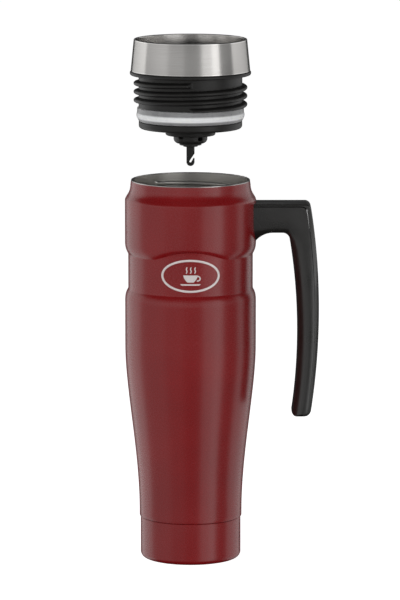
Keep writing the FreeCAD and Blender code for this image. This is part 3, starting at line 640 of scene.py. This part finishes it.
def inner_liner():
    """Liner wall from the middle of its floor to the rim, and back down its outside."""
    taper = s_curve((FLOOR_R, FLOOR_Z + FLOOR_ROUND), (CAVITY_R, TAPER_TOP_Z), *TAPER_PULLS, 28)
    corner = (FLOOR_R - FLOOR_ROUND, FLOOR_Z + FLOOR_ROUND)
    wall = [(0, FLOOR_Z)] + arc_points(corner, FLOOR_ROUND, -90, 0, 10) + taper[1:]
    wall += [(CAVITY_R, 150.0), (CAVITY_R, 170.0)]
    wall += s_curve((CAVITY_R, LEDGE_LOW[0]), (LEDGE_R, LEDGE_LOW[1]), 1.2, 1.2, 6)
    wall += s_curve((LEDGE_R, LEDGE_TOP[0]), (MOUTH_R, LEDGE_TOP[1]), 0.6, 0.6, 6)
    rows = 110
    low = MOUTH_LOW_Z
    wall += [(MOUTH_R, low + (LIP_Z - low) * i / rows) for i in range(rows + 1)]
    back = [(MOUTH_R + SHEET, LIP_Z), (MOUTH_R + SHEET, 203.8), (LEDGE_R + SHEET, 201.4),
            (LEDGE_R + SHEET, 193.0), (CAVITY_R + SHEET, 189.6)]
    back += [(r + SHEET, z) for r, z in taper][::-1]
    back += [(FLOOR_R - 4, FLOOR_Z + 0.8), (FLOOR_R - FLOOR_ROUND, FLOOR_Z - SHEET),
             (0, FLOOR_Z - SHEET)]
    inside = thread_shape(FEMALE_START, FEMALE_TURNS, 1.25, MOUTH_R - GROOVE_R, 0.45)

    def shape(r, z, angle):
        if abs(r - MOUTH_R) < 1e-6 and z > MOUTH_LOW_Z - 0.1:
            bent, height = inside(r, z, angle)
            return 2 * r - bent, height
        return r, z
    lathe("steel_liner", wall + back, "mug", "steel_liner", LINER, ("inner_liner",), segments=256,
          shape=shape, closed=False)


# ---- badge --------------------------------------------------------------

BADGE_Z = 171.0
BADGE_HALF_W = 17.3
BADGE_HALF_H = 9.6
BADGE_STROKE = 1.3
BADGE_T = 0.4


def on_waist(x, z, height):
    angle = x / WAIST_R
    r = WAIST_R + height
    return r * math.sin(angle), -r * math.cos(angle), z


def stroke_data(path, half_width, height, closed=False):
    """Raised rounded stroke that follows a path (x, z) on the waist."""
    half = [(1.0, -0.1), (1.0, 0.55), (0.86, 0.88), (0.6, 1.0)]
    section = [(-across, up) for across, up in half] + half[::-1]
    verts = []
    count = len(path)
    for i, p in enumerate(path):
        a = Vector(path[i - 1] if closed or i > 0 else p)
        b = Vector(path[(i + 1) % count] if closed or i < count - 1 else p)
        along = (b - a).normalized()
        side = Vector((-along.y, along.x))
        for across, up in section:
            q = Vector(p) + side * across * half_width
            verts.append(on_waist(q.x, q.y, up * height))
    n = len(section)
    faces = []
    for i in range(count if closed else count - 1):
        k = (i + 1) % count
        for j in range(n - 1):
            faces.append([i * n + j, i * n + j + 1, k * n + j + 1, k * n + j])
        faces.append([i * n + n - 1, i * n, k * n, k * n + n - 1])
    if not closed:
        faces.append(list(range(n)))
        faces.append([(count - 1) * n + j for j in range(n - 1, -1, -1)])
    return verts, faces


def joined(parts):
    verts = []
    faces = []
    for part_verts, part_faces in parts:
        base = len(verts)
        verts += part_verts
        faces += [[base + i for i in loop] for loop in part_faces]
    return verts, faces


def plate_data(rows, height, columns=14):
    """Raised plate on the waist between a left and a right edge given for each height."""
    verts = []
    last = len(rows) - 1
    for level in (-0.1, height):
        for n, (z, left, right) in enumerate(rows):
            rim = 0.12 if level > 0 else 0.0
            zz = z + (rim if n == 0 else -rim if n == last else 0)
            for j in range(columns + 1):
                x = left + rim + (right - left - 2 * rim) * j / columns
                verts.append(on_waist(x, zz, level))
    width = columns + 1
    size = width * len(rows)
    faces = []
    for n in range(last):
        for j in range(columns):
            a = n * width + j
            faces.append([a, a + 1, a + 1 + width, a + width])
            faces.append([size + a, size + a + width, size + a + width + 1, size + a + 1])
    border = list(range(width))
    border += [n * width + columns for n in range(1, last + 1)]
    border += [last * width + j for j in range(columns - 1, -1, -1)]
    border += [n * width for n in range(last - 1, 0, -1)]
    for a, b in zip(border, border[1:] + border[:1]):
        faces.append([a, a + size, b + size, b])
    return verts, faces


def badge_outline():
    half_stroke = BADGE_STROKE / 2
    half_w = BADGE_HALF_W - half_stroke
    half_h = BADGE_HALF_H - half_stroke
    count = 160
    oval = [(half_w * math.cos(TAU * i / count), BADGE_Z + half_h * math.sin(TAU * i / count))
            for i in range(count)]
    verts, faces = stroke_data(oval, half_stroke, BADGE_T, closed=True)
    piece("badge_oval", verts, faces, "mug", BADGE, ("badge_outline",))


def badge_icon():
    """Plain cup on a saucer with three wisps of steam."""
    z = BADGE_Z - 4.6
    cup = []
    for i in range(13):
        t = i / 12
        half = 1.6 + 2.6 * math.sin(math.pi / 2 * t) ** 0.8
        cup.append((z + 0.9 + 4.3 * t, -half, half))
    saucer = [(z - 0.9, -5.0, 5.0), (z - 0.6, -5.5, 5.5), (z - 0.2, -5.8, 5.8), (z + 0.1, -5.8, 5.8)]
    ear = arc_points((4.15, z + 3.2), 1.35, -115, 115, 18)
    parts = [plate_data(cup, BADGE_T, 16), plate_data(saucer, BADGE_T, 20), stroke_data(ear, 0.38, BADGE_T)]
    steps = 14
    for x in (-2.4, 0.0, 2.4):
        wisp = s_curve((x - 0.05, z + 6.2), (x + 0.45, z + 9.8), 1.6, 1.6, steps)
        wavy = [(a + 0.35 * math.sin(TAU * i / steps), b) for i, (a, b) in enumerate(wisp)]
        parts.append(stroke_data(wavy, 0.32, BADGE_T))
    verts, faces = joined(parts)
    piece("badge_cup_icon", verts, faces, "mug", BADGE, ("badge_icon",))


# ---- handle -------------------------------------------------------------

# arcs are (x of the apex, z of the apex, radius)
OUTER_ARC = (74.45, 146.3, 392.0)
INNER_ARC = (62.03, 133.5, 328.0)
ARM_LOW_Z = 192.2
ARM_ROOT_X = 35.9
TIP_Z = low_of("handle_body")
TIP_R = 4.6
FLARE = (47.5, 12.0)
SEAM = Vector((-2.3, -1.3))
SEAM_GAP = 0.22
GRIP_RIM = 3.2
SEAM_RIM = 0.38
INNER_ROUND = 8.2
OUTER_ROUND = 7.0
OUTER_BOW = 2.6
ARM_BOW = 0.12
TIP_ROUND = 3.0
GRIP_TOP_Z = 197.0
GRIP_BLEND = 16.0
OUTER_CORNER = 4.8
INNER_CORNER = 4.5
INNER_TIP_CORNER = 5.2
CORNER_REACH = 7
GRIP_CUTS_X = range(57, 76)
GRIP_CUTS_Z = range(86, 208, 3)


def arc_x(arc, z):
    """X of a tall arc that bulges towards +X, at height z."""
    return arc[0] - arc[2] + math.sqrt(arc[2] ** 2 - (z - arc[1]) ** 2)


def tall_arc(arc, z_from, z_to, count=36):
    points = []
    for i in range(count + 1):
        z = z_from + (z_to - z_from) * i / count
        points.append((arc_x(arc, z), z))
    return points


def tip_circle():
    """Centre of the round at the outer tip and the angle at which the outer arc leaves it."""
    lean = math.asin((OUTER_ARC[1] - TIP_Z - 4) / OUTER_ARC[2])
    leave_z = TIP_Z + TIP_R * (1 - math.sin(lean))
    centre = (arc_x(OUTER_ARC, leave_z) - TIP_R * math.cos(lean), TIP_Z + TIP_R)
    return centre, -math.degrees(lean)


def outer_line(shift, start):
    """Outside of the handle from an angle on its tip round up to the arm, moved by a shift."""
    centre, leave = tip_circle()
    points = arc_points(centre, TIP_R, start, leave, 10)
    points += tall_arc(OUTER_ARC, points[-1][1], HANDLE_TOP_Z - 6)[1:]
    corner = (arc_x(OUTER_ARC, HANDLE_TOP_Z), HANDLE_TOP_Z, OUTER_CORNER)
    points += softened([points[-1], corner, (50.0, HANDLE_TOP_Z)], closed=False, steps=12)[1:]
    return [(x + shift.x, z + shift.y) for x, z in points]


def crossing(shift):
    """Angles on the tip round, and on its shifted copy, of the point where the two cross."""
    side = Vector((-shift.y, shift.x)).normalized()
    point = shift / 2 + side * math.sqrt(TIP_R ** 2 - shift.length_squared / 4)
    other = point - shift
    return math.degrees(math.atan2(point.y, point.x)), math.degrees(math.atan2(other.y, other.x))


def dome_in_grip(thing):
    """Round the sides of the grip, strongly along its inner edge, and leave the arm flat."""
    mesh = thing.data
    bm = bmesh.new()
    bm.from_mesh(mesh)
    cuts = [((x * MM, 0, 0), (1, 0, 0)) for x in GRIP_CUTS_X]
    cuts += [((0, 0, z * MM), (0, 0, 1)) for z in GRIP_CUTS_Z]
    for place, normal in cuts:
        everything = bm.verts[:] + bm.edges[:] + bm.faces[:]
        bmesh.ops.bisect_plane(bm, geom=everything, dist=1e-6, plane_co=place, plane_no=normal)
    for vert in bm.verts:
        x, y, z = (value / MM for value in vert.co)
        top = grip_half_width(x, z)
        if abs(y) > top:
            vert.co.y = math.copysign(top * MM, y)
    bm.to_mesh(mesh)
    bm.free()
    mesh.set_sharp_from_angle(angle=math.radians(50))


def grip_half_width(x, z):
    """Half width of the handle at a point of its side view."""
    from_inner = x - arc_x(INNER_ARC, z)
    from_seam = arc_x(OUTER_ARC, z) + SEAM.x - x
    grip = min(1.0, max(0.0, (GRIP_TOP_Z - z) / GRIP_BLEND))
    grip = grip * grip * (3 - 2 * grip)
    q = min(1.0, max(0.0, 1 - from_inner / INNER_ROUND))
    inner_drop = grip * INNER_ROUND * (1 - math.sqrt(1 - q * q))
    bow = min(OUTER_ROUND, max(0.0, OUTER_BOW - from_seam))
    share = min(1.0, max(ARM_BOW, (GRIP_TOP_Z + 8 - z) / (3 * GRIP_BLEND)))
    outer_drop = share * (OUTER_ROUND - math.sqrt(OUTER_ROUND ** 2 - bow ** 2))
    r = min(1.0, max(0.0, 1 - (z - TIP_Z) / TIP_ROUND))
    tip_drop = TIP_ROUND * (1 - math.sqrt(1 - r * r))
    return HANDLE_HALF_W - max(inner_drop, tip_drop) - outer_drop


def handle_body():
    """Grip and arm inside the seam, anticlockwise from the root's top corner."""
    shift = SEAM - Vector((SEAM_GAP, SEAM_GAP))
    centre = tip_circle()[0]
    on_tip, on_copy = crossing(shift)
    flare_z = ARM_LOW_Z - FLARE[1]
    root_angle = math.degrees(math.acos((ARM_ROOT_X - FLARE[0]) / FLARE[1]))
    outline = [(ARM_ROOT_X, HANDLE_TOP_Z + shift.y)]
    outline += arc_points((FLARE[0], flare_z), FLARE[1], 90, root_angle, 14)[::-1]
    inner_corner = (arc_x(INNER_ARC, ARM_LOW_Z), ARM_LOW_Z, INNER_CORNER)
    inner = tall_arc(INNER_ARC, ARM_LOW_Z - CORNER_REACH, TIP_Z + CORNER_REACH)
    under = [(FLARE[0] + 0.5, ARM_LOW_Z), inner_corner, inner[0]]
    outline += softened(under, closed=False, steps=12)[:-1]
    outline += inner
    tip = [inner[-1], (arc_x(INNER_ARC, TIP_Z), TIP_Z, INNER_TIP_CORNER), (centre[0], TIP_Z)]
    outline += softened(tip, closed=False, steps=12)[1:]
    outline += arc_points(centre, TIP_R, -90, on_tip, 3)[1:]
    outline += outer_line(shift, on_copy)[1:]
    radii = [rim_radius(x, z) for x, z in outline]
    thing = slab("grip_body", outline, HANDLE_HALF_W, radii, "mug", HANDLE,
                 ("handle_body",), sharp=50)
    dome_in_grip(thing)


def rim_radius(x, z):
    """Small at the seam, wide along the inner edge of the grip and under the arm."""
    from_seam = arc_x(OUTER_ARC, z) + SEAM.x - x
    from_top = HANDLE_TOP_Z + SEAM.y - z
    near = min(from_seam, from_top)
    t = min(1.0, max(0.0, (near - 0.6) / 5.0))
    return SEAM_RIM + (GRIP_RIM - SEAM_RIM) * t


def spine_cover():
    """Strip over the arm and down the outside of the grip, running out on the round of the tip."""
    on_tip, on_copy = crossing(SEAM)
    outer = outer_line(Vector((0, 0)), on_tip)
    inner = outer_line(SEAM, on_copy)
    outline = outer + [(ARM_ROOT_X, HANDLE_TOP_Z), (ARM_ROOT_X, HANDLE_TOP_Z + SEAM.y)] + inner[:0:-1]
    radii = []
    for i, point in enumerate(outline):
        run_out = min(1.0, max(0.0, (point[1] - TIP_Z) / 7.0))
        radii.append(0.06 + run_out * (1.0 if i <= len(outer) else 0.16))
    thing = slab("grip_spine", outline, HANDLE_HALF_W, radii, "mug", HANDLE,
                 ("handle_spine_cover",), sharp=50)
    dome_in_grip(thing)


# ---- lid ----------------------------------------------------------------

def lid_collar():
    """Tapered skin, rolled over at the top and turned down inside to the deck."""
    corners = [(COLLAR_LOW_R, FLANGE_T, 0.12), (COLLAR_TOP_R, COLLAR_TOP, 0.55),
               (COLLAR_IN_R, COLLAR_TOP, 0.55), (COLLAR_IN_R, DECK_SEAT),
               (32.0, DECK_SEAT), (32.0, 19.9, 0.1), (33.9, FLANGE_T)]
    lathe("lid_collar_skin", softened(corners, steps=8), "lid", "collar_steel", COLLAR,
          ("lid_collar",), lift=LID_Z, segments=256)


def stopper():
    """Threaded neck between the gasket's seat and the flange."""
    rows = 150
    low = -18.5
    high = -0.2
    wall = [(NECK_OF_LID_R, low + (high - low) * i / rows) for i in range(rows + 1)]
    male = thread_shape(THREAD_START, MALE_TURNS, 1.65, CREST_R - NECK_OF_LID_R, 0.15)

    def shape(r, z, angle):
        if abs(r - NECK_OF_LID_R) < 1e-6 and z >= low:
            return male(r, z, angle)
        return r, z
    foot = [(27.2, -24.8), (5.0, -24.8), (5.0, CAP_TOP), (STOPPER_R, CAP_TOP), (STOPPER_R, low), (29.6, low)]
    flange = softened([(30.2, 0, 0.2), (35.0, 0, 0.95), (35.0, FLANGE_T, 0.95), (31.3, FLANGE_T),
                       (31.3, DECK_SEAT), (27.2, DECK_SEAT)], closed=False, steps=6)
    lathe("screw_stopper", foot + wall + flange, "lid", "black_plastic", BLACK, ("stopper_body",),
          lift=LID_Z, segments=320, shape=shape)


def gasket():
    low = GASKET_LOW
    corners = [(28.9, low), (29.9, low, 0.4), (31.0, low + 2.2, 1.2), (31.34, low + 3.4, 0.6),
               (30.9, low + 5.4, 0.8), (30.84, GASKET_TOP, 0.3), (28.9, GASKET_TOP)]
    lathe("gasket_ring", softened(corners, steps=6), "seal_ring", "silicone", GASKET,
          ("main_gasket",), lift=LID_Z)


def lower_cap():
    corners = [(5.0, CAP_LOW, 0.2), (CAP_R, CAP_LOW, 1.7), (CAP_R, CAP_TOP, 0.35), (27.6, CAP_TOP),
               (27.6, -28.9), (6.4, -28.9), (6.4, CAP_TOP), (5.0, CAP_TOP)]
    lathe("stopper_cap", softened(corners, steps=6), "lid", "black_plastic", BLACK,
          ("lower_cap",), lift=LID_Z)


def spring_cage():
    """Stepped bowl under the cap, with five round-cornered ports."""
    corners = [(8.6, CAP_LOW), (13.7, CAP_LOW, 0.2), (14.5, -34.3, 0.3), (13.9, -34.9, 0.3),
               (BOWL_R, -34.9, 0.25)]
    bowl = softened(corners, closed=False, steps=5)[:-1] + [(BOWL_R, -35.2), (BOWL_R, -37.2)]
    bowl += arc_three((BOWL_R, -37.2), (8.9, -38.9), (6.4, -39.7), 10)[1:]
    bowl += softened([(6.4, -39.8), (6.4, -40.7, 0.2), (4.2, -40.7, 0.2), (4.2, -41.6, 0.25), (0, -41.6)],
                     closed=False, steps=4)
    bowl += [(0, -40.2), (4.9, -40.2), (8.6, -36.6)]
    thing = lathe("strainer_bowl", bowl, "lid", "black_plastic", BLACK, ("spring_cage",), lift=LID_Z,
                  segments=96)
    port = [(-1.7, -37.6, 0.7), (1.7, -37.6, 0.7), (1.7, -35.5, 0.7), (-1.7, -35.5, 0.7)]
    cutter = slab_data(softened(port, steps=6), 3.0, 0.05)
    ports = 5
    carve(thing, [moved(cutter, (0, 9.0, LID_Z), 360 / ports * i) for i in range(ports)])


def arc_three(a, b, c, count):
    """Arc from a through b to c."""
    ax, ay = a
    bx, by = b
    cx, cy = c
    d = 2 * (ax * (by - cy) + bx * (cy - ay) + cx * (ay - by))
    a2, b2, c2 = ax * ax + ay * ay, bx * bx + by * by, cx * cx + cy * cy
    ux = (a2 * (by - cy) + b2 * (cy - ay) + c2 * (ay - by)) / d
    uy = (a2 * (cx - bx) + b2 * (ax - cx) + c2 * (bx - ax)) / d
    centre = Vector((ux, uy))
    start = Vector(a) - centre
    end = Vector(c) - centre
    turn = start.angle_signed(end)
    points = []
    for i in range(count + 1):
        angle = math.atan2(start.y, start.x) - turn * i / count
        points.append((ux + start.length * math.cos(angle), uy + start.length * math.sin(angle)))
    return points


def tea_hook():
    """Flat bar with a round end, and an eye that opens to its side."""
    low = -52.9
    side = 2.35
    round_z = low + side
    eye = low + 2.5
    outline = [(-side, -41.5)] + arc_points((0, round_z), side, 180, 360, 18)
    outline += [(side, eye + 1.7), (side - 0.25, eye + 2.05), (1.75, eye + 2.05), (0.52, eye - 0.2)]
    outline += arc_points((0, eye), 0.65, -35, -205, 10)
    outline += [(0.3, eye + 1.73), (side, eye + 4.8), (side, -41.5)]
    slab("tea_ball_hook", outline, 1.6, 0.3, "lid", BLACK, ("tea_hook",), lift=LID_Z)


def stadium(half_x, half_y, x=0.0, count=16):
    """Outline with two straight sides along Y and round ends."""
    straight = half_y - half_x
    points = arc_points((x, straight), half_x, 0, 180, count)
    return points + arc_points((x, -straight), half_x, 180, 360, count)


def lid_deck():
    """Deck with a drinking slot, holes for the stem and the vent, and two ears for the lever pin."""
    disc = softened([(0, DECK_TOP), (30.9, DECK_TOP, 0.3), (31.35, DECK_TOP + 0.4, 0.1),
                     (31.35, DECK_SEAT), (0, DECK_SEAT)], closed=False)
    thing = lathe("deck_plate", disc, "lid", "black_plastic", BLACK, ("lid_deck",), lift=LID_Z,
                  closed=False)
    outlines = (stadium(3.0, 6.5, SLOT_X), arc_points((0, 0), 1.7, 0, 345, 23),
                arc_points((15.0, 20.0), 1.2, 0, 345, 23))
    holes = [upright(slab_data(outline, 4.0, 0.02)) for outline in outlines]
    carve(thing, [moved(hole, (0, 0, LID_Z + (DECK_TOP + DECK_SEAT) / 2)) for hole in holes])
    ear = [(PIN_X - 3.0, 6.8), (PIN_X + 3.0, 6.8)] + arc_points((PIN_X, PIN_Z), 3.0, 0, 180, 20)
    ears = [moved(slab_data(ear, 1.0, 0.3), (0, y, LID_Z)) for y in (-7.4, 7.4)]
    verts, faces = joined(ears)
    piece("deck_ears", verts, faces, "lid", BLACK)


def lever():
    """Rocker with a thumb pad at one end and the plug over the drinking slot at the other."""
    outline = [(-25.2, 9.6)] + arc_three((-25.2, 11.2), (-18.5, 14.1), (PIN_X, 15.7), 14)
    outline += arc_three((2.0, 16.3), (10.5, 15.8), (18.5, 16.4), 14)
    outline += [(18.5, 14.9), (3.0, 13.8), (-6.6, 13.2), (PIN_X + 3.0, 9.2), (PIN_X - 3.0, 9.2),
                (-14.0, 10.8), (-18.0, 9.6)]
    slab("press_lever", outline, 6.0, 0.55, "lever", BLACK, ("lever",), lift=LID_Z)


def spout_seal():
    plug = upright(slab_data(stadium(3.9, 7.4, SLOT_X), 1.15, 0.5))
    verts, faces = moved(plug, (0, 0, LID_Z + 8.45))
    piece("spout_plug", verts, faces, "lever", SILICONE, ("spout_seal",))


for build in (outer_shell, base_cup, rim_lip, inner_liner, badge_outline, badge_icon, handle_body,
              spine_cover, lid_collar, stopper, gasket, lower_cap, spring_cage, tea_hook, lid_deck,
              lever, spout_seal):
    build()

# pieces that are shown as their plain CAD nodes
CAD_LOOKS = {
    "base_disc": PLAIN_STEEL, "evacuation_seal": PLAIN_STEEL, "getter": PLAIN_STEEL,
    "handle_bracket": PLAIN_STEEL, "handle_screws": PLAIN_STEEL, "lever_pin": PLAIN_STEEL,
    "valve_spring": PLAIN_STEEL, "valve_stem": BLACK, "drink_channel": NATURAL,
    "lid_insulation": foam(), "valve_seal": SILICONE,
}
for node, look in CAD_LOOKS.items():
    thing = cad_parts[node]
    thing.data.materials.clear()
    thing.data.materials.append(look)


# ---- studio -------------------------------------------------------------

CENTRE = Vector((0, 0, 0.16))
KEY_DISTANCE = 1.3
STRIP_DISTANCE = 0.75
STRIP_LOW_Z = -0.6
STRIP_HEIGHT = 1.15
# name, azimuths of its two sides in degrees (0 over the camera, positive to its right), radiance
STRIPS = (
    ("strip_right_soft", 21, 42, 0.72),
    ("strip_right", 42, 58, 1.22),
    ("strip_right_far", 89, 112, 0.72),
    ("strip_right_back", 112, 148, 0.78),
    ("strip_front_left", -44, -12, 0.16),
    ("strip_left", -97, -44, 0.36),
    ("strip_left_back", -150, -97, 1.05),
)
OFF_THE_HANDLE = "strip_left_back"
WORLD_FRONT = 0.54
WORLD_BACK = 0.13
WORLD_BELOW = 0.40
WORLD_DEEP = 0.08
WORLD_ABOVE = 0.1
FLOOR_GLOW = 0.97
FLOOR_REACH = 9.0
FLOOR_DROP = 0.2
LENS = 261.07
EYE = Vector((0, -2.5, 0.5382))
AIM = Vector((0.0055, 0, 0.1517))


def area_light(name, place, away, width, height, radiance):
    """Rectangular light whose back points away from the mug."""
    data = bpy.data.lights.new(name, "AREA")
    data.shape = "RECTANGLE"
    data.size = width
    data.size_y = height
    data.energy = radiance * math.pi * width * height
    lamp = bpy.data.objects.new(name, data)
    lamp.location = place
    lamp.rotation_euler = away.to_track_quat("Z", "Y").to_euler()
    bpy.context.scene.collection.objects.link(lamp)
    return lamp


def softbox(name, azimuth, elevation, width, height, radiance):
    """Area light aimed at the mug; azimuth 0 is over the camera, positive to its right."""
    a = math.radians(azimuth)
    e = math.radians(elevation)
    away = Vector((math.sin(a) * math.cos(e), -math.cos(a) * math.cos(e), math.sin(e)))
    return area_light(name, CENTRE + away * KEY_DISTANCE, away, width, height, radiance)


def strip(name, start, end, radiance):
    """Upright strip between two azimuths; it reaches below the floor, which only the camera sees."""
    a = math.radians((start + end) / 2)
    away = Vector((math.sin(a), -math.cos(a), 0))
    width = 2 * STRIP_DISTANCE * math.tan(math.radians(end - start) / 2)
    place = away * STRIP_DISTANCE + Vector((0, 0, STRIP_LOW_Z + STRIP_HEIGHT / 2))
    return area_light(name, place, away, width, STRIP_HEIGHT, radiance)


def surroundings():
    """White to the camera. To the mug it is grey, darker behind, high up and below the horizon."""
    world = bpy.data.worlds.new("studio")
    world.use_nodes = True
    tree = world.node_tree
    ground = tree.nodes["Background"]
    ground.inputs["Color"].default_value = (1, 1, 1, 1)
    where = tree.nodes.new("ShaderNodeTexCoord")
    split = tree.nodes.new("ShaderNodeSeparateXYZ")
    tree.links.new(where.outputs["Generated"], split.inputs["Vector"])
    front = ramp(tree, split.outputs["Y"], -0.6, 0.6, WORLD_FRONT, WORLD_BACK)
    above = ramp(tree, split.outputs["Z"], -0.08, 0.06, WORLD_BELOW, 1.0)
    high = ramp(tree, split.outputs["Z"], 0.10, 0.42, 1.0, WORLD_ABOVE)
    deep = ramp(tree, split.outputs["Z"], -0.80, -0.50, WORLD_DEEP, 1.0)
    strength = front
    for share in (above, high, deep):
        strength = maths(tree, "MULTIPLY", strength, share)
    to_camera = tree.nodes.new("ShaderNodeLightPath").outputs["Is Camera Ray"]
    tree.links.new(maths(tree, "MAXIMUM", strength, to_camera), ground.inputs["Strength"])
    bpy.context.scene.world = world


def flag_off_handle(lamp):
    """Keep a light off the handle, as a flag on a stand would."""
    flagged = bpy.data.collections.new("flagged_off")
    for name in ("grip_body", "grip_spine"):
        flagged.objects.link(bpy.data.objects[name])
    for entry in flagged.collection_objects:
        entry.light_linking.link_state = "EXCLUDE"
    lamp.light_linking.receiver_collection = flagged


def studio():
    lamps = {name: strip(name, start, end, radiance) for name, start, end, radiance in STRIPS}
    flag_off_handle(lamps[OFF_THE_HANDLE])
    key = softbox("key_front", -12, 14, 1.3, 0.8, 2.25)
    key.visible_glossy = False
    softbox("top", 0, 88, 1.2, 1.2, 0.22)
    surroundings()
    bpy.context.scene.view_settings.view_transform = "Standard"


def floor():
    """Plane just below the foot, which only the camera sees: it takes no part in the lighting."""
    near = -FLOOR_REACH
    far = 3 * FLOOR_REACH
    z = -FLOOR_DROP * MM
    mesh = bpy.data.meshes.new("floor")
    mesh.from_pydata([(-FLOOR_REACH, near, z), (FLOOR_REACH, near, z),
                      (FLOOR_REACH, far, z), (-FLOOR_REACH, far, z)], [], [(0, 1, 2, 3)])
    mesh.materials.append(pale_floor())
    ground = bpy.data.objects.new("floor", mesh)
    bpy.context.scene.collection.objects.link(ground)
    ground.visible_diffuse = False
    ground.visible_glossy = False
    ground.visible_transmission = False
    ground.visible_shadow = False


def camera():
    data = bpy.data.cameras.new("camera")
    data.lens = LENS
    data.clip_end = 60
    eye = bpy.data.objects.new("camera", data)
    eye.location = EYE
    eye.rotation_euler = (AIM - EYE).to_track_quat("-Z", "Y").to_euler()
    bpy.context.scene.collection.objects.link(eye)
    bpy.context.scene.camera = eye


studio()
floor()
camera()
